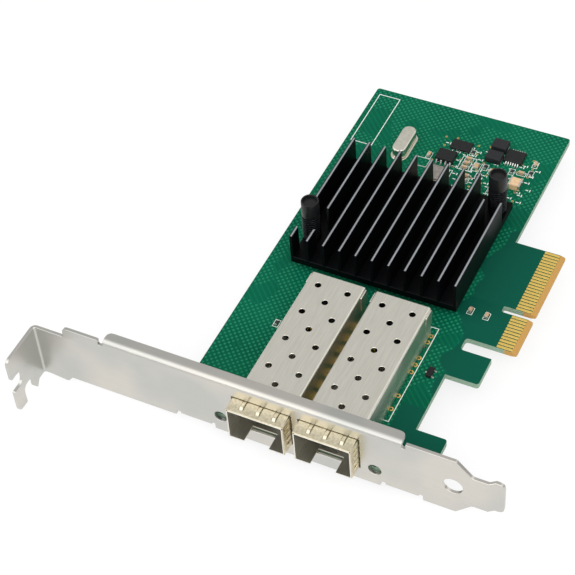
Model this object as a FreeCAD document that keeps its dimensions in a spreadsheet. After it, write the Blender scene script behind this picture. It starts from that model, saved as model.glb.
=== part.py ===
import FreeCAD
import Part
import Sketcher
import collections
import math
import os
import types

# A two-port optical network interface card: a low-profile plug-in board that carries a full-height
# slot bracket, two pluggable-transceiver cages, a controller chip under a finned heatsink held by two
# sprung push pins, and the small parts of its clock and power supply.
#
# Frame, in millimetres: the origin is where the centre line of the edge connector's key notch meets
# the tip of the contact tongue, on the component face of the board. +X points out of the edge
# connector, +Y from the slot bracket to the rear edge of the board, +Z away from the component face.

SIZES = (
    # board
    ("board_thickness", 1.57, "laminate of the printed board"),
    ("card_height", 68.9, "low-profile card, left edge to the tip of the contact tongue"),
    ("tongue_reach", 13.3, "contact tongue beyond the main edge of the board"),
    ("board_rear", 62.8, "key notch centre line to the rear edge"),
    ("board_gap", 0.6, "bracket to the front edge of the board"),
    ("foot_reach", 7.9, "front foot of the board beyond its main edge"),
    ("foot_depth", 13.5, "front foot along Y"),
    ("hook_reach", 8.4, "retention hook beyond the main edge"),
    ("hook_width", 8.6, "retention hook along Y"),
    ("hook_slot", 3.8, "slot between the hook and the contact tongue"),
    ("slot_inner", 0.35, "hook slot's round end to the line of the main edge"),
    ("key_width", 1.9, "key notch"),
    ("key_depth", 8.2, "key notch from the tip of the tongue"),
    ("bevel_length", 1.3, "lead-in bevel of the tongue"),
    ("bevel_drop", 0.45, "lead-in bevel, depth from each face"),
    ("board_corner", 0.8, "rounded corner of the board"),
    # edge contacts
    ("contact_pitch", 1.0, "edge contacts, centre to centre"),
    ("contact_width", 0.7, "one edge contact"),
    ("contact_length", 4.0, "one edge contact along X"),
    ("contact_thickness", 0.05, "plated contact above the laminate"),
    ("contact_margin", 0.575, "last contact's centre to the side of its tongue"),
    ("key_to_contact", 1.5, "key notch centre line to the nearest contact's centre"),
    ("short_contacts", 11, "contacts per face on the short tongue"),
    ("long_contacts", 21, "contacts per face on the long tongue"),
    # slot bracket
    ("sheet", 0.86, "bracket sheet thickness"),
    ("bend_radius", 0.6, "inside radius of every bracket bend"),
    ("key_to_bracket", 57.15, "key notch centre line to the bracket's outer face"),
    ("tip_to_tab", 106.3, "tip of the contact tongue to the tab's outer face"),
    ("bracket_length", 120.02, "tab's outer face to the tip of the bracket's tongue"),
    ("bracket_low", 4.2, "bracket's lower edge below the component face"),
    ("bracket_width", 18.42, "bracket along Z"),
    ("neck_length", 9.0, "narrow neck beside the tab bend"),
    ("neck_step", 3.2, "neck's upper edge below the bracket's upper edge"),
    ("neck_drop", 1.2, "neck's lower edge below the bracket's lower edge"),
    ("tongue_width", 10.19, "bracket tongue"),
    ("tongue_length", 7.2, "bracket tongue beyond its shoulders"),
    ("shoulder_run", 3.9, "sloping shoulder along X"),
    ("joggle", 0.9, "bracket tongue's tip set back from its face"),
    ("joggle_run", 1.3, "sloping part of that set-back along X"),
    ("joggled_length", 2.2, "set-back tip of the bracket tongue along X"),
    ("flange_start", 20.0, "tab's outer face to the stiffening flange"),
    ("flange_end", 96.0, "tab's outer face to the far end of the flange"),
    ("flange_depth", 3.4, "flange, from the bracket's outer face"),
    ("relief", 1.2, "bend relief notch beside the flange"),
    ("tab_reach", 12.2, "tab, from the bracket's outer face"),
    ("tab_drop", 7.3, "tab's lower prong below the component face"),
    ("tab_finger", 2.5, "bracket's outer face to the tab's small pointed finger"),
    ("tab_cut", 5.0, "bracket's outer face to the tab's round-topped cut"),
    ("tab_cut_width", 3.6, "round-topped cut"),
    ("tab_cut_top", 1.9, "top of that cut below the component face"),
    ("tab_round", 1.6, "rounded corners of the tab"),
    ("screw_slot", 4.42, "width of the open slot for the case screw"),
    ("screw_slot_height", 2.2, "centre of that slot above the component face"),
    ("screw_slot_end", 8.2, "bracket's outer face to the slot's round end"),
    ("slide_hole", 4.8, "round hole near the tongue"),
    ("slide_hole_inset", 11.82, "tip of the bracket's tongue to that hole's centre"),
    ("led_hole", 3.3, "light hole"),
    ("led_hole_height", 1.0, "light hole's centre above the component face"),
    ("led_clear", 4.075, "side of the nearer cage to the light hole's centre"),
    # ears and screws that hold the bracket to the board
    ("ear_width", 8.0, "mounting ear along X"),
    ("ear_reach", 12.0, "mounting ear, from the bracket's outer face"),
    ("ear_relief", 2.4, "bend relief notch beside an ear"),
    ("ear_screw_depth", 7.6, "bracket's outer face to the screws' centre line"),
    ("left_ear", 63.3, "tip of the contact tongue to the left screw"),
    ("ear_spacing", 52.8, "left screw to right screw"),
    ("screw_radius", 1.25, "screw shank"),
    ("screw_clearance", 0.15, "shank to the board's hole"),
    ("thread_clearance", 0.1, "shank to the tapped collar"),
    ("screw_head_radius", 2.5, "pan head"),
    ("screw_head_height", 1.7, "pan head"),
    ("collar_radius", 2.4, "tapped collar on the ear"),
    # transceiver cages
    ("cage_width", 14.2, "cage, outside"),
    ("cage_top", 9.85, "cage roof above the component face"),
    ("cage_sheet", 0.3, "cage sheet thickness"),
    ("cage_round", 0.6, "outside radius of the cage's folds"),
    ("cage_gap", 2.65, "side of one cage to the side of the other"),
    ("right_cage", 28.2, "tip of the tongue to the right cage's centre line"),
    ("cage_front", 3.8, "cage mouth ahead of the bracket's outer face"),
    ("cage_rear", 14.4, "cage's rear wall to the key notch centre line"),
    ("cage_bottom", 0.3, "underside of the cage above the component face"),
    ("lug_length", 3.2, "rear wall's folded lugs along Y"),
    ("lug_low", 4.6, "folded lugs above the component face"),
    ("vent_radius", 0.8, "vent hole in the cage roof"),
    ("vent_column", 3.9, "vent columns, centre to centre"),
    ("vent_row", 9.05, "vent rows, centre to centre"),
    ("vent_first", 3.6, "rear wall to the first row of vents"),
    ("vent_rows", 4, "vents in one column"),
    ("latch_width", 6.4, "latch notch in the cage floor"),
    ("latch_depth", 4.6, "latch notch in the cage floor"),
    ("latch_hole", 2.6, "triangular latch window in the cage floor"),
    ("leg_width", 0.9, "cage leg"),
    ("leg_first", 4.0, "rear wall to the first pair of legs"),
    ("leg_spacing", 28.0, "cage legs along Y"),
    ("leg_rows", 2, "pairs of cage legs"),
    ("leg_tip", 0.7, "cage legs below the solder face"),
    ("leg_hole_radius", 0.6, "hole in the board for a cage leg"),
    ("finger_sheet", 0.15, "spring collar sheet thickness"),
    ("finger_rise", 0.32, "crest of a spring finger above the collar"),
    ("collar_start", 0.2, "cage mouth to the spring collar"),
    ("collar_band", 0.9, "unslit band of the collar along Y"),
    ("finger_width", 2.5, "one spring finger on the roof"),
    ("finger_pitch", 3.3, "roof fingers, centre to centre"),
    ("side_finger_width", 1.6, "one spring finger on a side"),
    ("side_finger_pitch", 2.2, "side fingers, centre to centre"),
    ("finger_count", 4, "spring fingers on each side of the cage"),
    ("finger_foot", 0.55, "bracket's back face to the end of the fingers"),
    ("window_gap", 0.05, "spring finger's crest to the bracket window"),
    # sockets inside the cages
    ("socket_width", 12.2, "socket housing along X"),
    ("socket_height", 5.4, "socket housing"),
    ("socket_depth", 9.2, "socket housing along Y"),
    ("socket_setback", 1.4, "socket housing to the cage's rear wall"),
    ("socket_pitch", 0.8, "socket contacts, centre to centre"),
    ("card_slot_width", 9.7, "socket's slot for the module's card edge"),
    ("card_slot_height", 1.5, "socket's slot"),
    ("card_slot_depth", 6.0, "socket's slot"),
    ("card_slot_low", 2.4, "socket's slot above the component face"),
    ("row_contacts", 10, "socket contacts in one row"),
    ("floor_gap", 1.2, "cage floor's rear edge to the socket"),
    ("tail_width", 0.36, "socket contact"),
    ("tail_thickness", 0.15, "socket contact"),
    # controller, pad, heatsink and its pins
    ("chip_side", 23.0, "controller chip, each side"),
    ("chip_height", 2.0, "controller chip above the board"),
    ("pad_thickness", 0.3, "thermal pad"),
    ("base_thickness", 2.0, "heatsink base"),
    ("heatsink_top", 11.6, "fin tips above the component face"),
    ("heatsink_front", 7.3, "front edge of the heatsink to the key notch centre line"),
    ("heatsink_length", 38.2, "heatsink along Y"),
    ("heatsink_left", 61.75, "tip of the tongue to the heatsink's left side"),
    ("fin_pitch", 4.35, "fins, centre to centre"),
    ("fin_thickness", 0.7, "one fin"),
    ("fin_count", 11, "fins"),
    ("pin_pocket_radius", 4.8, "pocket in the fins round a push pin"),
    ("front_pin_x", 59.7, "tip of the tongue to the front push pin"),
    ("front_pin_y", 1.0, "key notch centre line to the front push pin"),
    ("rear_pin_x", 20.3, "tip of the tongue to the rear push pin"),
    ("rear_pin_y", 27.0, "key notch centre line to the rear push pin"),
    ("pin_radius", 1.5, "push pin shank"),
    ("pin_clearance", 0.12, "push pin shank to its holes"),
    ("pin_head_radius", 2.3, "push pin head"),
    ("pin_top", 17.0, "push pin head above the component face"),
    ("pin_head_height", 4.8, "push pin head"),
    ("spring_wire", 0.65, "wire of the push pin's spring"),
    ("spring_radius", 2.05, "spring, to the middle of the wire"),
    ("spring_turns", 6, "turns of the spring"),
    ("barb_length", 2.3, "split barb below the solder face"),
    ("barb_radius", 2.0, "split barb"),
    # clock, memory and power parts
    ("can_length", 10.3, "crystal can along Y"),
    ("can_width", 3.8, "crystal can along X"),
    ("can_height", 3.5, "crystal can above the board"),
    ("can_rim", 0.45, "crystal's base rim beyond the can"),
    ("can_rim_height", 0.6, "crystal's base rim"),
    ("can_x", 52.8, "tip of the tongue to the crystal"),
    ("can_y", 43.4, "key notch centre line to the crystal"),
    ("oscillator_length", 5.7, "clock oscillator along Y"),
    ("oscillator_width", 5.0, "clock oscillator along X"),
    ("oscillator_height", 1.5, "clock oscillator"),
    ("oscillator_x", 40.8, "tip of the tongue to the clock oscillator"),
    ("oscillator_y", 36.7, "key notch centre line to the clock oscillator"),
    ("flash_x", 41.0, "tip of the tongue to the memory chip"),
    ("flash_y", 43.8, "key notch centre line to the memory chip"),
    ("flash_length", 4.9, "memory chip's body along X"),
    ("flash_width", 3.9, "memory chip's body along Y"),
    ("flash_height", 1.6, "memory chip"),
    ("flash_leads", 4, "leads on each side of the memory chip"),
    ("power_chip_x", 24.2, "tip of the tongue to the power controller chip"),
    ("power_chip_y", 50.3, "key notch centre line to the power controller chip"),
    ("power_chip_length", 5.0, "power controller chip's body along X"),
    ("power_chip_width", 4.4, "power controller chip's body along Y"),
    ("power_chip_height", 1.1, "power controller chip"),
    ("power_chip_leads", 6, "leads on each side of the power controller chip"),
    ("regulator_x", 38.8, "tip of the tongue to the regulator chip"),
    ("regulator_y", 49.3, "key notch centre line to the regulator chip"),
    ("regulator_length", 5.5, "regulator chip along X"),
    ("regulator_width", 3.5, "regulator chip along Y"),
    ("regulator_height", 0.9, "regulator chip"),
    ("lead_pitch", 1.27, "leads of the memory chip"),
    ("fine_lead_pitch", 0.65, "leads of the power chips"),
    ("lead_thickness", 0.16, "chip leads"),
    ("lead_reach", 1.05, "chip leads beyond the body"),
    ("inductor_length", 4.3, "power inductor along X"),
    ("inductor_width", 3.5, "power inductor along Y"),
    ("inductor_height", 1.9, "power inductor"),
    ("inductor_spacing", 4.6, "power inductors, centre to centre"),
    ("inductor_x", 29.1, "tip of the tongue to the power inductors"),
    ("inductor_y", 48.0, "key notch centre line to the nearer power inductor"),
    ("small_chip_length", 1.6, "small chip part"),
    ("small_chip_width", 0.8, "small chip part"),
    ("large_chip_length", 2.0, "large chip part"),
    ("large_chip_width", 1.25, "large chip part"),
    ("capacitor_height", 0.85, "chip capacitor"),
    ("resistor_height", 0.45, "chip resistor"),
    ("output_capacitor_side", 3.2, "large ceramic capacitor"),
    ("output_capacitor_height", 1.9, "large ceramic capacitor"),
    ("output_capacitor_x", 20.5, "tip of the tongue to the large capacitor"),
    ("output_capacitor_y", 40.7, "key notch centre line to the large capacitor"),
    ("transistor_length", 2.9, "transistor's body along Y"),
    ("transistor_x", 16.6, "tip of the tongue to the transistor"),
    ("transistor_y", 25.6, "key notch centre line to the transistor"),
    ("led_body", 2.0, "indicator body along X"),
    ("led_gap", 0.2, "front edge of the board to the indicators"),
    ("led_lens_radius", 0.7, "indicator lens"),
)

# Chip parts on the component face: X and Y of the centre, lying along X or Y, small or large.
CHIP_CAPACITORS = (
    (-15.2, -3.6, "Y", "small"),
    (-10.9, -3.8, "Y", "small"),
    (-45.6, 43.2, "Y", "small"),
    (-35.2, 45.6, "X", "small"),
    (-35.2, 43.9, "X", "small"),
    (-35.2, 42.2, "X", "small"),
    (-32.4, 43.6, "Y", "large"),
    (-33.6, 39.4, "X", "small"),
    (-33.6, 37.7, "X", "small"),
    (-27.6, 43.3, "X", "large"),
    (-25.2, 42.8, "Y", "small"),
    (-20.6, 45.6, "X", "small"),
    (-18.4, 50.0, "Y", "small"),
)
CHIP_RESISTORS = (
    (-57.2, -25.4, "Y", "small"),
    (-35.2, 48.3, "Y", "small"),
    (-30.2, 44.4, "Y", "small"),
    (-30.8, 40.6, "Y", "small"),
    (-25.6, 39.6, "X", "small"),
    (-25.6, 37.9, "X", "small"),
    (-25.6, 36.2, "X", "small"),
    (-23.2, 45.4, "Y", "small"),
    (-18.4, 46.4, "Y", "small"),
)


class Size:
    """A length that carries its value and the spreadsheet expression that gives it."""

    def __init__(self, value, text):
        self.value = value
        self.text = text

    def __add__(self, other):
        other = as_size(other)
        return Size(self.value + other.value, "(%s + %s)" % (self.text, other.text))

    def __sub__(self, other):
        other = as_size(other)
        return Size(self.value - other.value, "(%s - %s)" % (self.text, other.text))

    def __mul__(self, other):
        other = as_size(other)
        return Size(self.value * other.value, "(%s * %s)" % (self.text, other.text))

    def __truediv__(self, other):
        other = as_size(other)
        return Size(self.value / other.value, "(%s / %s)" % (self.text, other.text))

    def __neg__(self):
        return self * -1

    def __radd__(self, other):
        return as_size(other) + self

    def __rsub__(self, other):
        return as_size(other) - self

    def __rmul__(self, other):
        return self * other


def as_size(length):
    if isinstance(length, Size):
        return length
    return Size(float(length), "(%.9g)" % length)


doc = FreeCAD.newDocument("network_interface_card")
sheet = doc.addObject("Spreadsheet::Sheet", "Sizes")
for row, (alias, value, note) in enumerate(SIZES, start=1):
    sheet.set("A%d" % row, note)
    sheet.set("B%d" % row, str(value))
    sheet.setAlias("B%d" % row, alias)
doc.recompute()

S = types.SimpleNamespace()
for alias, value, note in SIZES:
    setattr(S, alias, Size(float(getattr(sheet, alias)), "Sizes." + alias))

# Places that more than one piece shares.
LEFT_EDGE = -S.card_height
MAIN_EDGE = -S.tongue_reach
BRACKET_FRONT = -S.key_to_bracket
BRACKET_BACK = BRACKET_FRONT + S.sheet
BOARD_FRONT = BRACKET_BACK + S.board_gap
BOARD_BACK = -S.board_thickness
SHORT_END = -(S.key_to_contact + (S.short_contacts - 1) * S.contact_pitch + S.contact_margin)
LONG_END = S.key_to_contact + (S.long_contacts - 1) * S.contact_pitch + S.contact_margin
SCREW_Y = BRACKET_FRONT + S.ear_screw_depth
SCREW_X = (-S.left_ear, -S.left_ear + S.ear_spacing)
CAGE_PITCH = S.cage_width + S.cage_gap
CAGE_X = {"left": -S.right_cage - CAGE_PITCH, "right": -S.right_cage}
CAGE_MOUTH = BRACKET_FRONT - S.cage_front
CAGE_REAR = -S.cage_rear
LEG_Y = CAGE_REAR - S.leg_first
SOCKET_REAR = CAGE_REAR - S.cage_sheet - S.socket_setback
SOCKET_FRONT = SOCKET_REAR - S.socket_depth
LED_X = CAGE_X["left"] - S.cage_width / 2 - S.led_clear
LED_SPACING = CAGE_PITCH + S.cage_width + S.led_clear * 2
PIN_X = {"front": -S.front_pin_x, "rear": -S.rear_pin_x}
PIN_Y = {"front": S.front_pin_y, "rear": S.rear_pin_y}
HEATSINK_LOW = S.chip_height + S.pad_thickness
BASE_TOP = HEATSINK_LOW + S.base_thickness
HEATSINK_LEFT = -S.heatsink_left
HEATSINK_FRONT = -S.heatsink_front
CHIP_X = (PIN_X["front"] + PIN_X["rear"]) / 2
CHIP_Y = (PIN_Y["front"] + PIN_Y["rear"]) / 2

Arc = collections.namedtuple("Arc", "u v clockwise")
Circle = collections.namedtuple("Circle", "u v radius")

NEAR = 0.01
FEWEST_SIDES = 6
FEW_SIDES = 10
CHORDS_PER_TURN = 8
PLANES = {"X": "YZ_Plane", "Y": "XZ_Plane", "Z": "XY_Plane"}
nodes = []


def value(length):
    return as_size(length).value


def bind(item, name, length):
    """Set a property to a length and tie it to the spreadsheet."""
    item.setExpression(name, as_size(length).text)


def constrain(sketch, kind, geometry, point, length):
    """Fix one coordinate or radius of a sketch's geometry to a length."""
    where = (geometry,) if point is None else (geometry, point)
    index = sketch.addConstraint(Sketcher.Constraint(kind, *where, value(length)))
    sketch.setExpression("Constraints[%d]" % index, as_size(length).text)


def new_body(label, x=None, y=None, z=None):
    """An empty body, placed at a point of the card."""
    body = doc.addObject("PartDesign::Body", label)
    body.Label = label
    for name, length in (("x", x), ("y", y), ("z", z)):
        if length is not None:
            bind(body, ".Placement.Base." + name, length)
    nodes.append(body)
    return body


def origin_part(body, role):
    return next(item for item in body.Origin.OriginFeatures if item.Role == role)


def rounded(steps):
    """An outline with each rounded corner replaced by two tangent points and an arc."""
    result = []
    for index, step in enumerate(steps):
        if isinstance(step, Arc) or len(step) == 2:
            result.append(step)
            continue
        u, v, radius = step
        ways = []
        for other in (steps[index - 1], steps[(index + 1) % len(steps)]):
            way_u = value(other[0]) - value(u)
            way_v = value(other[1]) - value(v)
            length = math.hypot(way_u, way_v)
            ways.append((way_u / length, way_v / length))
        (in_u, in_v), (out_u, out_v) = ways
        half = math.acos(in_u * out_u + in_v * out_v) / 2
        reach = radius / math.tan(half)
        middle = math.hypot(in_u + out_u, in_v + out_v)
        depth = radius / (math.sin(half) * middle)
        result.append((u + reach * in_u, v + reach * in_v))
        result.append(Arc(u + depth * (in_u + out_u), v + depth * (in_v + out_v), None))
        result.append((u + reach * out_u, v + reach * out_v))
    return result


def draw_arc(sketch, start, arc, end):
    """Add an arc between two points; gives its geometry index and its start and end vertices."""
    centre = FreeCAD.Vector(value(arc.u), value(arc.v), 0)
    start_u, start_v = value(start[0]) - centre.x, value(start[1]) - centre.y
    end_u, end_v = value(end[0]) - centre.x, value(end[1]) - centre.y
    clockwise = arc.clockwise
    if clockwise is None:
        clockwise = start_u * end_v - start_v * end_u < 0
    first = math.atan2(start_v, start_u)
    last = math.atan2(end_v, end_u)
    if clockwise:
        first, last = last, first
    if last < first:
        last += 2 * math.pi
    circle = Part.Circle(centre, FreeCAD.Vector(0, 0, 1), math.hypot(start_u, start_v))
    index = sketch.addGeometry(Part.ArcOfCircle(circle, first, last))
    if abs(end_u - start_u) > abs(end_v - start_v):
        constrain(sketch, "DistanceY", index, 3, arc.v)
    else:
        constrain(sketch, "DistanceX", index, 3, arc.u)
    return (index, 2, 1) if clockwise else (index, 1, 2)


def draw_outline(sketch, steps):
    """Add a closed outline of points and arcs, each point fixed to its lengths."""
    steps = rounded(steps)
    pieces = []
    for index, step in enumerate(steps):
        if isinstance(step, Arc):
            end = steps[(index + 1) % len(steps)]
            pieces.append(draw_arc(sketch, steps[index - 1], step, end) + (steps[index - 1],))
            continue
        after = steps[(index + 1) % len(steps)]
        if isinstance(after, Arc):
            continue
        start = FreeCAD.Vector(value(step[0]), value(step[1]), 0)
        end = FreeCAD.Vector(value(after[0]), value(after[1]), 0)
        pieces.append((sketch.addGeometry(Part.LineSegment(start, end)), 1, 2, step))
    for index, (geometry, first, last, start) in enumerate(pieces):
        after = pieces[(index + 1) % len(pieces)]
        sketch.addConstraint(Sketcher.Constraint("Coincident", geometry, last, after[0], after[1]))
        constrain(sketch, "DistanceX", geometry, first, start[0])
        constrain(sketch, "DistanceY", geometry, first, start[1])


def draw_circle(sketch, circle):
    centre = FreeCAD.Vector(value(circle.u), value(circle.v), 0)
    index = sketch.addGeometry(Part.Circle(centre, FreeCAD.Vector(0, 0, 1), value(circle.radius)))
    constrain(sketch, "DistanceX", index, 3, circle.u)
    constrain(sketch, "DistanceY", index, 3, circle.v)
    constrain(sketch, "Radius", index, None, circle.radius)


def sketch_at(body, axis, level, shapes):
    """A sketch square to an axis of the body, at a level along it."""
    sketch = body.newObject("Sketcher::SketchObject", "Outline")
    sketch.AttachmentSupport = [(origin_part(body, PLANES[axis]), "")]
    sketch.MapMode = "FlatFace"
    bind(sketch, ".AttachmentOffset.Base.z", -as_size(level) if axis == "Y" else level)
    for shape in shapes:
        if isinstance(shape, Circle):
            draw_circle(sketch, shape)
        else:
            draw_outline(sketch, shape)
    sketch.Visibility = False
    return sketch


def add(body, axis, low, high, shapes):
    """Pad the shapes from one level to another along an axis."""
    pad = body.newObject("PartDesign::Pad", "Pad")
    pad.Profile = sketch_at(body, axis, low, shapes)
    pad.Reversed = axis == "Y"
    bind(pad, "Length", as_size(high) - low)
    return pad


def cut(body, axis, low, high, shapes):
    """Pocket the shapes from one level to another along an axis, and see that something went."""
    doc.recompute()
    before = body.Shape.Volume
    pocket = body.newObject("PartDesign::Pocket", "Pocket")
    pocket.Profile = sketch_at(body, axis, low if axis == "Y" else high, shapes)
    bind(pocket, "Length", as_size(high) - low)
    doc.recompute()
    if not body.Shape.Volume < before - 1e-6:
        raise RuntimeError("a pocket in %s cuts nothing" % body.Label)
    return pocket


def repeat(body, feature, axis, step, count, reverse=False):
    """Repeat a feature in a row along an axis of the body."""
    pattern = body.newObject("PartDesign::LinearPattern", "Row")
    pattern.Originals = [feature]
    pattern.Direction = (origin_part(body, axis + "_Axis"), [""])
    pattern.Reversed = reverse
    bind(pattern, "Length", step * (as_size(count) - 1))
    bind(pattern, "Occurrences", count)
    body.Tip = pattern
    return pattern


def turn(body, profile):
    """Revolve a profile of radius and height about the body's Z axis."""
    revolution = body.newObject("PartDesign::Revolution", "Turned")
    revolution.Profile = sketch_at(body, "Y", 0, [profile])
    revolution.ReferenceAxis = (revolution.Profile[0], ["V_Axis"])
    revolution.Angle = 360
    return revolution


def soften(body, radius, wanted, kind="Fillet"):
    """Round or chamfer the edges that a test of their middle and direction picks."""
    doc.recompute()
    base = body.Tip
    names = []
    for index, edge in enumerate(base.Shape.Edges, start=1):
        ends = [vertex.Point for vertex in edge.Vertexes]
        if len(ends) == 2 and wanted((ends[0] + ends[1]) / 2, ends[1] - ends[0]):
            names.append("Edge%d" % index)
    if not names:
        raise RuntimeError("no edge of %s to soften" % body.Label)
    feature = body.newObject("PartDesign::" + kind, kind)
    feature.Base = (base, names)
    bind(feature, "Size" if kind == "Chamfer" else "Radius", radius)
    return feature


def box(u_low, u_high, v_low, v_high, radius=None):
    corners = [(u_low, v_low), (u_high, v_low), (u_high, v_high), (u_low, v_high)]
    if radius is None:
        return corners
    return [corner + (radius,) for corner in corners]


def polygon(u, v, radius, sides):
    """A round outline drawn with a few flats, for small holes that repeat many times."""
    turns = [2 * math.pi * (index + 0.5) / sides for index in range(sides)]
    return [(u + radius * math.cos(angle), v + radius * math.sin(angle)) for angle in turns]


def block(u, v, u_size, v_size, radius=None):
    """A box outline given by its centre and sizes."""
    return box(u - u_size / 2, u + u_size / 2, v - v_size / 2, v + v_size / 2, radius)


def fold(corner_u, corner_v, side_u, side_v, leaf_end):
    """Section of a folded edge: the leaf runs along u to its end, the plate goes on along v."""
    outer = S.bend_radius + S.sheet
    centre = Arc(corner_u + side_u * outer, corner_v + side_v * outer, None)
    return [
        (corner_u, centre.v),
        centre,
        (centre.u, corner_v),
        (leaf_end, corner_v),
        (leaf_end, corner_v + side_v * S.sheet),
        (centre.u, corner_v + side_v * S.sheet),
        centre,
        (corner_u + side_u * S.sheet, centre.v),
    ]


def make_board():
    """Printed board with its foot, retention hook, keyed contact tongue, bevels and holes."""
    body = new_body("circuit_board")
    foot = MAIN_EDGE + S.foot_reach
    foot_rear = BOARD_FRONT + S.foot_depth
    hook = MAIN_EDGE + S.hook_reach
    hook_rear = SHORT_END - S.hook_slot
    hook_front = hook_rear - S.hook_width
    slot_x = MAIN_EDGE + S.slot_inner + S.hook_slot / 2
    slot_y = SHORT_END - S.hook_slot / 2
    key_x = S.key_width / 2 - S.key_depth
    half_key = S.key_width / 2
    round_ = S.board_corner
    outline = [
        (LEFT_EDGE, BOARD_FRONT, round_),
        (foot, BOARD_FRONT, round_),
        (foot, foot_rear, round_),
        (MAIN_EDGE, foot_rear),
        (MAIN_EDGE, hook_front),
        (hook, hook_front, round_),
        (hook, hook_rear),
        (slot_x, hook_rear),
        Arc(slot_x, slot_y, True),
        (slot_x, SHORT_END),
        (0, SHORT_END),
        (0, -half_key),
        (key_x, -half_key),
        Arc(key_x, 0, True),
        (key_x, half_key),
        (0, half_key),
        (0, LONG_END),
        (MAIN_EDGE, LONG_END),
        (MAIN_EDGE, S.board_rear, round_),
        (LEFT_EDGE, S.board_rear, round_),
    ]
    add(body, "Z", BOARD_BACK, 0, [outline])
    bevels = [
        [(0, 0), (-S.bevel_length, 0), (0, -S.bevel_drop)],
        [(0, BOARD_BACK), (0, BOARD_BACK + S.bevel_drop), (-S.bevel_length, BOARD_BACK)],
    ]
    cut(body, "Y", SHORT_END, LONG_END, bevels)
    holes = []
    for screw_x in SCREW_X:
        holes.append(polygon(screw_x, SCREW_Y, S.screw_radius + S.screw_clearance, FEW_SIDES))
    for end in ("front", "rear"):
        hole = S.pin_radius + S.pin_clearance
        holes.append(polygon(PIN_X[end], PIN_Y[end], hole, FEW_SIDES))
    cut(body, "Z", BOARD_BACK, 0, holes)
    legs = []
    for centre in CAGE_X.values():
        for side in (-1, 1):
            leg_x = centre + side * (S.cage_width - S.cage_sheet) / 2
            legs.append(polygon(leg_x, LEG_Y, S.leg_hole_radius, FEWEST_SIDES))
    leg_holes = cut(body, "Z", BOARD_BACK, 0, legs)
    repeat(body, leg_holes, "Y", S.leg_spacing, S.leg_rows, reverse=True)


def make_contacts(label, low):
    """Edge contacts of one face, in the two groups on either side of the key notch."""
    body = new_body(label)
    for side, count in ((-1, S.short_contacts), (1, S.long_contacts)):
        middle = side * S.key_to_contact
        outline = box(
            -S.bevel_length - S.contact_length,
            -S.bevel_length,
            middle - S.contact_width / 2,
            middle + S.contact_width / 2,
        )
        contact = add(body, "Z", low, low + S.contact_thickness, [outline])
        repeat(body, contact, "Y", S.contact_pitch, count, reverse=side < 0)


def make_bracket():
    """Slot bracket, folded from one sheet: face, tongue, flange, screw tab and two ears."""
    body = new_body("bracket")
    outer_bend = S.bend_radius + S.sheet
    low = -S.bracket_low
    top = low + S.bracket_width
    middle = low + S.bracket_width / 2
    tab = -S.tip_to_tab
    tip = tab + S.bracket_length
    shoulder = tip - S.tongue_length
    slope = shoulder - S.shoulder_run
    tongue_low = middle - S.tongue_width / 2
    tongue_top = middle + S.tongue_width / 2
    joggle_end = tip - S.joggled_length
    joggle_start = joggle_end - S.joggle_run
    neck_end = tab + S.neck_length
    neck_top = top - S.neck_step
    neck_low = low - S.neck_drop
    flange_left = tab + S.flange_start
    flange_right = tab + S.flange_end
    left_ear = SCREW_X[0] - S.ear_width / 2
    right_ear = SCREW_X[1] + S.ear_width / 2
    face = [
        (tab + outer_bend, neck_low),
        (tab + outer_bend * 2, neck_low),
        (neck_end - outer_bend, neck_low - S.relief / 2, S.bend_radius),
        (neck_end, low, S.bend_radius),
        (left_ear - S.ear_relief, low),
        (left_ear - S.ear_relief, low + outer_bend),
        (left_ear + S.ear_width, low + outer_bend),
        (left_ear + S.ear_width, low),
        (right_ear - S.ear_width, low),
        (right_ear - S.ear_width, low + outer_bend),
        (right_ear + S.ear_relief, low + outer_bend),
        (right_ear + S.ear_relief, low),
        (slope, low, S.bend_radius),
        (shoulder, tongue_low, S.tab_round),
        (joggle_start, tongue_low),
        (joggle_start, tongue_top),
        (shoulder, tongue_top, S.tab_round),
        (slope, top, S.bend_radius),
        (flange_right, top),
        (flange_right, top - outer_bend),
        (flange_left - S.relief, top - outer_bend),
        (flange_left - S.relief, top),
        (neck_end, top, S.tab_round),
        (neck_end, neck_top, S.bend_radius),
        (tab + outer_bend, neck_top),
    ]
    add(body, "Y", BRACKET_FRONT, BRACKET_BACK, [face])
    flange = fold(BRACKET_FRONT, top, 1, -1, BRACKET_FRONT + S.flange_depth)
    add(body, "X", flange_left, flange_right, [flange])
    ear = fold(BRACKET_FRONT, low, 1, 1, BRACKET_FRONT + S.ear_reach)
    for ear_left in (left_ear, right_ear - S.ear_width):
        add(body, "X", ear_left, ear_left + S.ear_width, [ear])
    bend = fold(tab, BRACKET_BACK, 1, -1, tab + outer_bend * 2)
    add(body, "Z", neck_low, neck_top, [bend])
    slide_y = BRACKET_FRONT + S.joggle
    tongue = [
        (joggle_start, BRACKET_FRONT),
        (joggle_end, slide_y),
        (tip, slide_y),
        (tip, slide_y + S.sheet),
        (joggle_end, slide_y + S.sheet),
        (joggle_start, BRACKET_BACK),
    ]
    add(body, "Z", tongue_low, tongue_top, [tongue])
    add(body, "X", tab, tab + S.sheet, [tab_outline(neck_low, neck_top)])
    collars = [polygon(screw_x, SCREW_Y, S.collar_radius, FEW_SIDES) for screw_x in SCREW_X]
    add(body, "Z", low + S.sheet, BOARD_BACK, collars)
    flange_rear = value(BRACKET_FRONT + S.flange_depth)
    soften(body, S.tab_round, lambda middle, way: abs(middle.y - flange_rear) < NEAR
           and abs(way.x) + abs(way.y) < NEAR)
    soften(body, S.tab_round, lambda middle, way: abs(middle.x - value(tip)) < NEAR
           and abs(way.x) + abs(way.z) < NEAR)
    bore = S.screw_radius + S.thread_clearance
    bores = [polygon(screw_x, SCREW_Y, bore, FEW_SIDES) for screw_x in SCREW_X]
    cut(body, "Z", low, BOARD_BACK, bores)
    cut(body, "Y", BRACKET_FRONT, BRACKET_BACK, face_openings(middle))


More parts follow.
